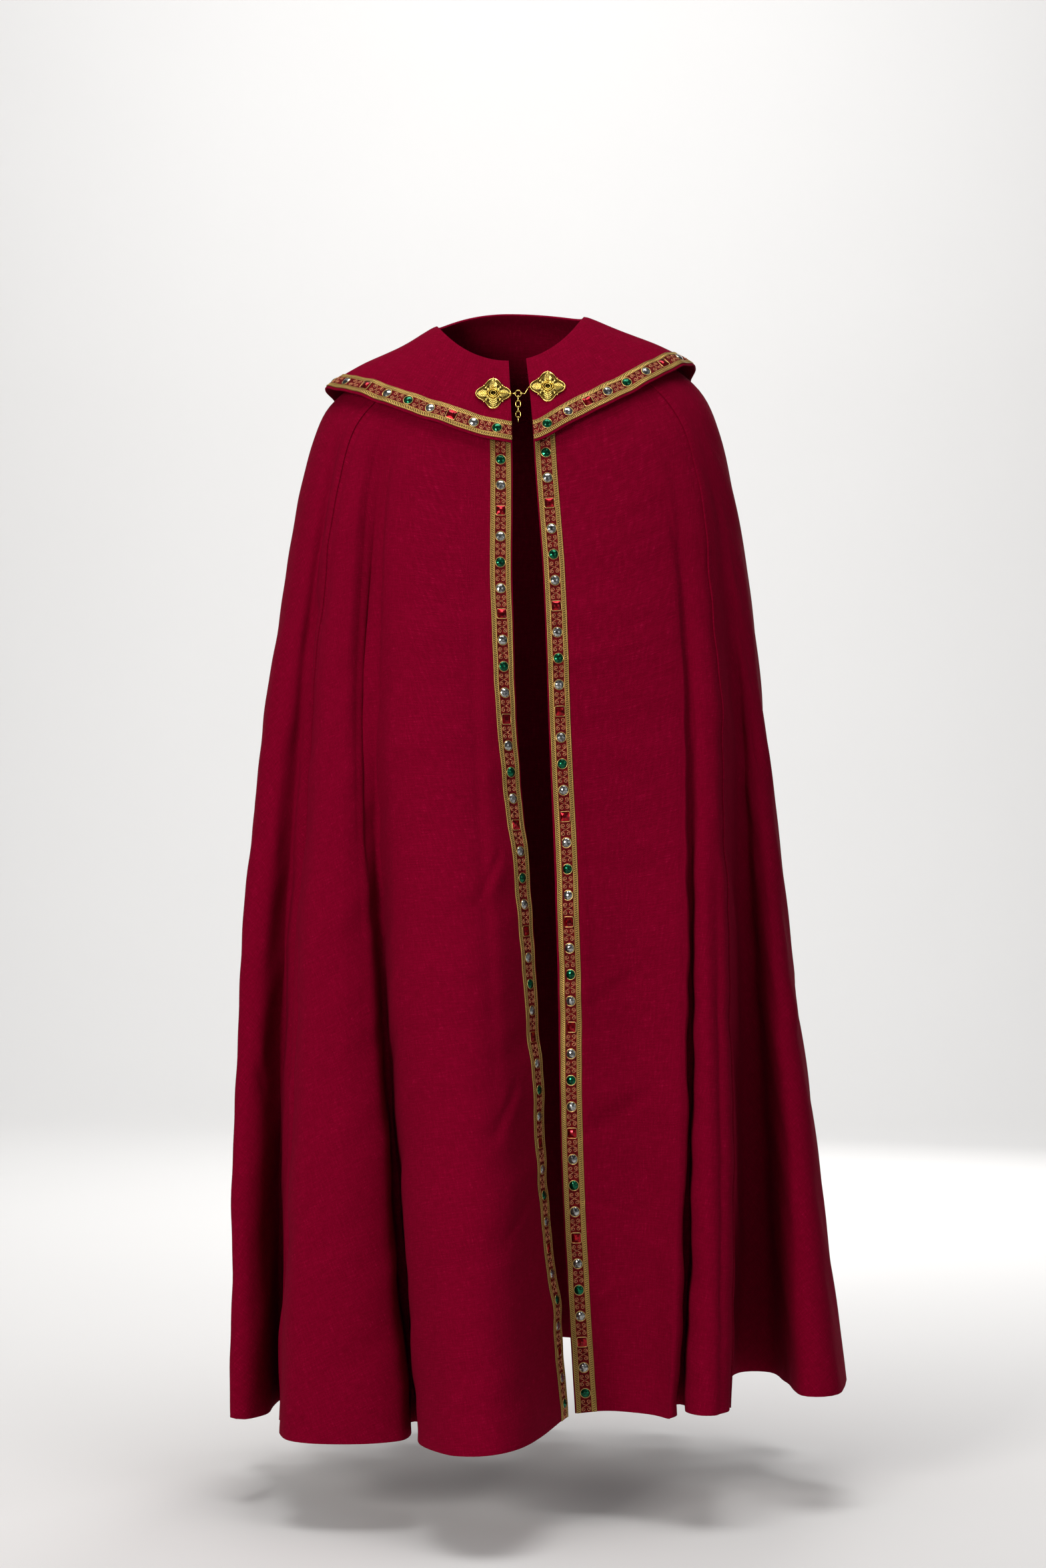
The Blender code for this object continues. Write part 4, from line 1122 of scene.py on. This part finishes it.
def plaque_mesh(name, seat):
    """A plaque: a fine polar grid over its rounded diamond outline, with its relief and a closed back."""
    share = np.linspace(0.0, 1.0, PLAQUE_ROWS)[:, None]
    angle = np.linspace(0, 2 * math.pi, PLAQUE_COLUMNS + 1)[None]
    height = plaque_height(share, angle)
    height[-1] = PLAQUE_RIM
    reach = share * (PLAQUE_RADIUS + PLAQUE_LOBE * share**2 * np.cos(4 * angle))
    reach = np.concatenate([reach, reach[-1:], reach[-1:] * 0.0])
    height = np.concatenate([height, np.zeros((2, PLAQUE_COLUMNS + 1))])
    angle = np.broadcast_to(angle, reach.shape)
    x, y = (reach * np.cos(angle))[..., None], (reach * np.sin(angle))[..., None]
    right, up, outward = (np.array(axis) for axis in (seat.right, seat.up, seat.outward))
    points = np.array(seat.middle) + x * right + y * up + height[..., None] * outward
    flat = np.concatenate([x, y], axis=-1)
    data = grid_mesh(name, points, flat, "plaque", merge=True)
    spots = np.array([vert.co for vert in data.vertices])
    local = spots - np.array(seat.middle)
    lx, ly, lz = local @ right, local @ up, local @ outward
    # The depth attribute marks painted shade in the low stamping, away from the rim
    near = np.hypot(lx, ly) / (PLAQUE_RADIUS + PLAQUE_LOBE * 0.5)
    deep = np.clip((PLAQUE_SHADE_BELOW - lz) / PLAQUE_SHADE_OVER, 0, 1) * (near < 0.93)
    layer = data.attributes.new("depth", "FLOAT", "POINT")
    layer.data.foreach_set("value", deep.astype(np.float32))
    return data


def nub_lines(seat):
    """Short pegs at the four waists of a plaque's outline."""
    lines = []
    for number in range(4):
        angle = math.radians(45 + 90 * number)
        waist = PLAQUE_RADIUS - PLAQUE_LOBE
        ends = (waist - NUB_INSIDE, waist + NUB_OUTSIDE)
        x, y = math.cos(angle), math.sin(angle)
        lines.append([seat.at(reach * x, reach * y, NUB_HEIGHT) for reach in ends])
    return lines


def oval(centre, half_long, half_short, long_axis, short_axis):
    """Points round an oval with straight sides."""
    straight = max(half_long - half_short, 0)
    points = []
    for number in range(FINE_OVAL_POINTS):
        angle = 2 * math.pi * (number + 0.5) / FINE_OVAL_POINTS
        along = half_short * math.cos(angle) + math.copysign(straight, math.cos(angle))
        points.append(centre + along * long_axis + half_short * math.sin(angle) * short_axis)
    return points


def node_oval(node, long_axis, short_axis):
    """The middle line of a ring or link, from its solid's box."""
    low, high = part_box(node)
    size = high - low
    pick = lambda axis: abs(size.dot(Vector([abs(part) for part in axis])))
    centre = (low + high) / 2
    return oval(centre, pick(long_axis) / 2 - WIRE, pick(short_axis) / 2 - WIRE, long_axis, short_axis)


def colour(label, description, default):
    """A colour that a user may change."""
    return FloatVectorProperty(name=label, description=description, subtype="COLOR", default=default)


def length(label, description, default, least):
    """A length that a user may change."""
    return FloatProperty(name=label, description=description, unit="LENGTH", default=default, min=least)


def amount(label, description, default, most=1000.0):
    """A strength that a user may change."""
    return FloatProperty(name=label, description=description, default=default, min=0.0, max=most)


class CopeCloth(bpy.types.PropertyGroup):
    cloth_colour: colour("Cloth", "Lit colour of the wool", (0.225, 0.0006, 0.0205))
    shade_colour: colour("Between threads", "Colour of the wool in its weave", (0.135, 0.0003, 0.0105))
    fleck_colour: colour("Raised threads", "Colour of the lighter threads", (0.34, 0.008, 0.045))
    thread_width: length("Thread width", "Width of an uneven thread", 0.0015, 0.0003)
    weave_pitch: length("Weave pitch", "One repeat of the weave", 0.0016, 0.0004)
    nap: amount("Nap", "Strength of the soft sheen", 0.012, 1.0)


class CopeGalloon(bpy.types.PropertyGroup):
    gold_colour: colour("Cord", "Gold of the cords", (0.54, 0.34, 0.10))
    # Painted shade between the cord's plies
    gold_shade: colour("Cord ply", "Gold between the cord's plies", (0.11, 0.055, 0.013))
    bar_colour: colour("Bars", "Gold of the slanting bars", (0.58, 0.37, 0.11))
    # Painted shade between the bars
    bar_painted_shade: colour("Bar gaps", "Colour between the bars", (0.016, 0.006, 0.002))
    field_colour: colour("Field", "Red of the woven field", (0.17, 0.005, 0.006))
    field_shade: colour("Field weave", "Darker red in the field", (0.035, 0.001, 0.002))
    scroll_colour: colour("Scrolls", "Lit colour of the scroll thread", (0.82, 0.35, 0.17))
    scroll_shade: colour("Scroll twist", "Darker colour of the scroll thread", (0.25, 0.08, 0.035))


class CopeClasp(bpy.types.PropertyGroup):
    gilt_colour: colour("Gilt", "Colour of the polished gilt", (0.86, 0.64, 0.17))
    # Painted shade for the deep stamping
    gilt_shade: colour("Gilt recess", "Colour in the deep stamping", (0.060, 0.034, 0.006))
    polish: amount("Polish", "Roughness of the gilt", 0.10, 1.0)


class CopeStudio(bpy.types.PropertyGroup):
    wall_colour: colour("Studio", "Colour of the floor and the backdrop", (0.80, 0.79, 0.78))
    key_power: amount("Key light", "Watts of the main soft light", 88.0)
    fill_power: amount("Fill light", "Watts of the side light", 11.0)
    back_power: amount("Backdrop light", "Watts of the light on the floor behind", 92.0)
    rear_power: amount("Rear light", "Watts of the light on the back", 34.0)
    world: amount("Room light", "Strength of the even light", 0.18)


class COPE_OT_panels(bpy.types.Operator):
    """Make the back and the two front panels of the cloak"""

    bl_idname = "cope.panels"
    bl_label = "Cloak panels"

    def execute(self, context):
        cloth = wool(context.scene.cope_cloth)
        table = (
            ("back", "cloth_back", "back_panel", (0, 1, 0), (2.70, 1.48)),
            ("right", "cloth_front_right", "front_panel_right", (0, -1, 0), (1.00, 1.44)),
            ("left", "cloth_front_left", "front_panel_left", (0, -1, 0), (0.60, 1.42)),
        )
        for side, name, node, outward, flat_size in table:
            points, flat = Panel(side).grid()
            piece = cloth_piece(name, points, flat, outward, cloth, node)
        return {"FINISHED"}


class COPE_OT_cape(bpy.types.Operator):
    """Make the shoulder cape and its galloon"""

    bl_idname = "cope.cape"
    bl_label = "Shoulder cape"

    def execute(self, context):
        cape = Cape()
        stops = np.linspace(0, 1, CAPE_CLOTH_ROWS)[:, None] * cape.lengths[-1]
        points, outward = cape.rows(stops)
        points, outward = points[:, ::CAPE_CLOTH_STEP], outward[:, ::CAPE_CLOTH_STEP]
        angle = (cape.shares[::CAPE_CLOTH_STEP] - 0.5) * CAPE_FLAT_TURN
        radius = FLAT_NECK + stops[:, ::CAPE_CLOTH_STEP]
        flat = np.stack([radius * np.sin(angle), -radius * np.cos(angle)], axis=-1)
        cloth = bpy.data.materials["crimson_wool"]
        middle = outward[CAPE_CLOTH_ROWS // 2, outward.shape[1] // 2]
        piece = cloth_piece("cloth_shoulder_cape", points, flat, middle, cloth, "shoulder_cape")
        return {"FINISHED"}


class COPE_OT_galloons(bpy.types.Operator):
    """Make the three galloons with their scrolls, stones and settings"""

    bl_idname = "cope.galloons"
    bl_label = "Galloons"

    def execute(self, context):
        look = context.scene.cope_galloon
        braid, thread = gold_braid(look), gold_thread(look)
        gilt = bright_metal("setting_gilt", (0.62, 0.42, 0.15), (0.3, 0.2, 0.05), 0.25)
        stones_finish = [
            glass("green_glass", (0.0, 0.130, 0.055), (0.0, 0.018, 0.008), 0.85, 0.12),
            glass("clear_glass", (0.44, 0.44, 0.42), (0.06, 0.06, 0.06), 0.90, 0.10),
            glass("red_glass", (0.38, 0.002, 0.010), (0.08, 0.0, 0.002), 0.85, 0.12),
        ]
        beds = {
            "front_right": (*front_ribbon("right"), "front_galloon_right", -1, "cloth_front_right"),
            "front_left": (*front_ribbon("left"), "front_galloon_left", 0, "cloth_front_left"),
            "cape": (*cape_ribbon(Cape()), "cape_galloon", 0, "cloth_shoulder_cape"),
        }
        for name, (ribbon, spots, node, first, under) in beds.items():
            pitch = spots[1] - spots[0]
            if first:
                spots = np.concatenate([[spots[0] - pitch], spots])
            numbers = np.arange(len(spots)) + first
            if name == "cape":
                numbers = np.minimum(numbers, numbers[::-1])
            stones = [(STONE_ORDER[number % 4], along) for number, along in zip(numbers, spots)]
            middles = (spots[:-1] + spots[1:]) / 2
            middles = np.concatenate([[spots[0] - pitch / 2], middles, [spots[-1] + pitch / 2]])
            middles = np.clip(middles, SCROLL_REACH, ribbon.length - SCROLL_REACH)
            middles = middles[np.abs(spots[:, None] - middles).min(axis=0) > SCROLL_ROOM]
            data = band_mesh("galloon_" + name, ribbon)
            band = add_piece(data.name, data, [braid], COPE, [node])
            on_it = (
                (wires("scrolls_" + name, scroll_lines(ribbon, middles), SCROLL_WIRE, 0, False), [thread]),
                (stones_mesh("stones_" + name, ribbon, stones), stones_finish),
                (wires("settings_" + name, bezel_lines(ribbon, stones), BEZEL_WIRE, 0, True), [gilt]),
            )
            pieces = [add_piece(data.name, data, finish, COPE) for data, finish in on_it]
        return {"FINISHED"}


class COPE_OT_plaques(bpy.types.Operator):
    """Make the clasp's two stamped plaques"""

    bl_idname = "cope.plaques"
    bl_label = "Clasp plaques"

    def execute(self, context):
        look = context.scene.cope_clasp
        gilt = bright_metal("gilt", look.gilt_colour, look.gilt_shade, look.polish)
        for side in ("right", "left"):
            seat = PlaqueSeat("morse_plaque_" + side)
            name = "clasp_plaque_" + side
            add_piece(name, plaque_mesh(name, seat), [gilt], COPE, ["morse_plaque_" + side])
            data = wires("clasp_nubs_" + side, nub_lines(seat), WIRE, 2, False)
            add_piece("clasp_nubs_" + side, data, [gilt], COPE)
        return {"FINISHED"}


class COPE_OT_fastening(bpy.types.Operator):
    """Make the ring, the loop, the hook and the chain between the plaques"""

    bl_idname = "cope.fastening"
    bl_label = "Ring, hook and chain"

    def execute(self, context):
        gilt = bpy.data.materials["gilt"]
        across, forward, up = Vector((1, 0, 0)), Vector((0, -1, 0)), Vector((0, 0, 1))
        rows = [("morse_ring", COPE, across, up), ("morse_loop", COPE, across, forward)]
        for number in range(LINKS):
            rows.append((f"chain_link_{number + 1}", CHAIN, up, forward if number % 2 == 0 else across))
        for node, body, long_axis, short_axis in rows:
            name = "fine_" + node
            data = wires(name, [node_oval(node, long_axis, short_axis)], WIRE, 3, True)
            add_piece(name, data, [gilt], body, [node])

        low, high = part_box("morse_ring")
        centre = (low + high) / 2
        seat = PlaqueSeat("morse_plaque_left")
        tip = seat.at(-(PLAQUE_RADIUS + PLAQUE_LOBE), 0.0, 0.0007)
        gap = 2 * WIRE + WIRE_CLEARANCE
        bend = centre + ((high.x - low.x) / 2 - WIRE - gap) * across
        hook = [tip - HOOK_CLEARANCE * across, bend + HOOK_SHANK * across - HOOK_DIP * gap * forward]
        for number in range(HOOK_POINTS):
            angle = math.pi * number / (HOOK_POINTS - 1)
            hook.append(bend + gap * (1 - math.sin(angle)) * across - gap * math.cos(angle) * forward)
        hook.append(bend + HOOK_TIP * across + gap * forward)
        data = wires("fine_morse_hook", [hook], WIRE, 3, False)
        add_piece("fine_morse_hook", data, [gilt], COPE, ["morse_hook"])
        return {"FINISHED"}


class COPE_OT_studio(bpy.types.Operator):
    """Make the pale floor and backdrop, the soft lights and the camera"""

    bl_idname = "cope.studio"
    bl_label = "Studio"

    def execute(self, context):
        look = context.scene.cope_studio
        scene = context.scene
        mesh = bmesh.new()
        bmesh.ops.create_grid(mesh, x_segments=1, y_segments=1, size=STAGE_HALF)
        bmesh.ops.translate(mesh, verts=mesh.verts, vec=(0, STAGE_BACK - STAGE_HALF, FLOOR_Z))
        edge = max(mesh.edges, key=lambda item: item.verts[0].co.y + item.verts[1].co.y)
        raised = bmesh.ops.extrude_edge_only(mesh, edges=[edge])["geom"]
        top = [item for item in raised if isinstance(item, bmesh.types.BMVert)]
        bmesh.ops.translate(mesh, verts=top, vec=(0, 0, STAGE_HEIGHT))
        bmesh.ops.recalc_face_normals(mesh, faces=mesh.faces)
        bmesh.ops.bevel(
            mesh, geom=[edge], offset=STAGE_CURVE, affect="EDGES", segments=24, profile=0.5, material=-1
        )
        data = bpy.data.meshes.new("studio_sweep")
        mesh.to_mesh(data)
        mesh.free()
        data.shade_smooth()
        sweep = bpy.data.objects.new("studio_sweep", data)
        data.materials.append(plain("studio_paper", look.wall_colour, 0.9))
        scene.collection.objects.link(sweep)

        aim = Vector((0.02, 0.0, -0.55))
        lamps = (
            ("key", (-1.9, -3.2, 0.15), 1.2, look.key_power, (1.0, 0.97, 0.94)),
            ("fill", (2.2, -3.4, 0.4), 1.8, look.fill_power, (0.94, 0.97, 1.0)),
            ("floor", (0.0, -0.4, 2.6), 2.2, look.back_power, (1.0, 1.0, 1.0)),
            ("wall", (0.0, 2.8, 3.0), 3.0, look.back_power * WALL_SHARE, (1.0, 1.0, 1.0)),
            ("rear", (1.2, 3.4, 0.3), 1.6, look.rear_power, (1.0, 0.98, 0.96)),
        )
        aims = {"floor": Vector((0.0, 3.0, FLOOR_Z)), "wall": Vector((0.0, STAGE_BACK, -0.2))}
        for name, spot, size, power, colour in lamps:
            lamp = bpy.data.lights.new("studio_" + name, "AREA")
            lamp.size = size
            lamp.energy = power
            lamp.color = colour
            holder = bpy.data.objects.new("studio_" + name, lamp)
            holder.location = spot
            target = aims.get(name, aim)
            holder.rotation_euler = (target - Vector(spot)).to_track_quat("-Z", "Y").to_euler()
            holder.visible_camera = False
            scene.collection.objects.link(holder)

        world = bpy.data.worlds.new("studio_room")
        world.use_nodes = True
        world.node_tree.nodes["Background"].inputs["Color"].default_value = (0.95, 0.97, 1.0, 1.0)
        world.node_tree.nodes["Background"].inputs["Strength"].default_value = look.world
        scene.world = world
        scene.view_settings.view_transform = "Standard"

        lens = bpy.data.cameras.new("photo_camera")
        lens.lens = CAMERA_LENS
        camera = bpy.data.objects.new("photo_camera", lens)
        camera.location = CAMERA_AT
        camera.rotation_euler = (math.pi / 2, 0, 0)
        scene.collection.objects.link(camera)
        scene.camera = camera
        return {"FINISHED"}


class COPE_PT_sidebar(bpy.types.Panel):
    """The pieces of the cope and their colours"""

    bl_idname = "COPE_PT_sidebar"
    bl_label = "Cope"
    bl_space_type = "VIEW_3D"
    bl_region_type = "UI"
    bl_category = "Cope"

    def draw(self, context):
        for group in ("cope_cloth", "cope_galloon", "cope_clasp", "cope_studio"):
            box = self.layout.box()
            owner = getattr(context.scene, group)
            for name in type(owner).__annotations__:
                box.prop(owner, name)
        for operator in OPERATORS:
            self.layout.operator(operator.bl_idname)


GROUPS = {
    "cope_cloth": CopeCloth, "cope_galloon": CopeGalloon, "cope_clasp": CopeClasp, "cope_studio": CopeStudio,
}
OPERATORS = (
    COPE_OT_panels, COPE_OT_cape, COPE_OT_galloons, COPE_OT_plaques, COPE_OT_fastening, COPE_OT_studio,
)


def register():
    for made in (*GROUPS.values(), *OPERATORS, COPE_PT_sidebar):
        bpy.utils.register_class(made)
    for name, group in GROUPS.items():
        setattr(bpy.types.Scene, name, PointerProperty(type=group))


def unregister():
    for name in GROUPS:
        delattr(bpy.types.Scene, name)
    for made in (COPE_PT_sidebar, *reversed(OPERATORS), *GROUPS.values()):
        bpy.utils.unregister_class(made)


def main():
    register()
    bpy.ops.cope.panels()
    bpy.ops.cope.cape()
    bpy.ops.cope.galloons()
    bpy.ops.cope.plaques()
    bpy.ops.cope.fastening()
    bpy.ops.cope.studio()


if __name__ == "__main__":
    main()
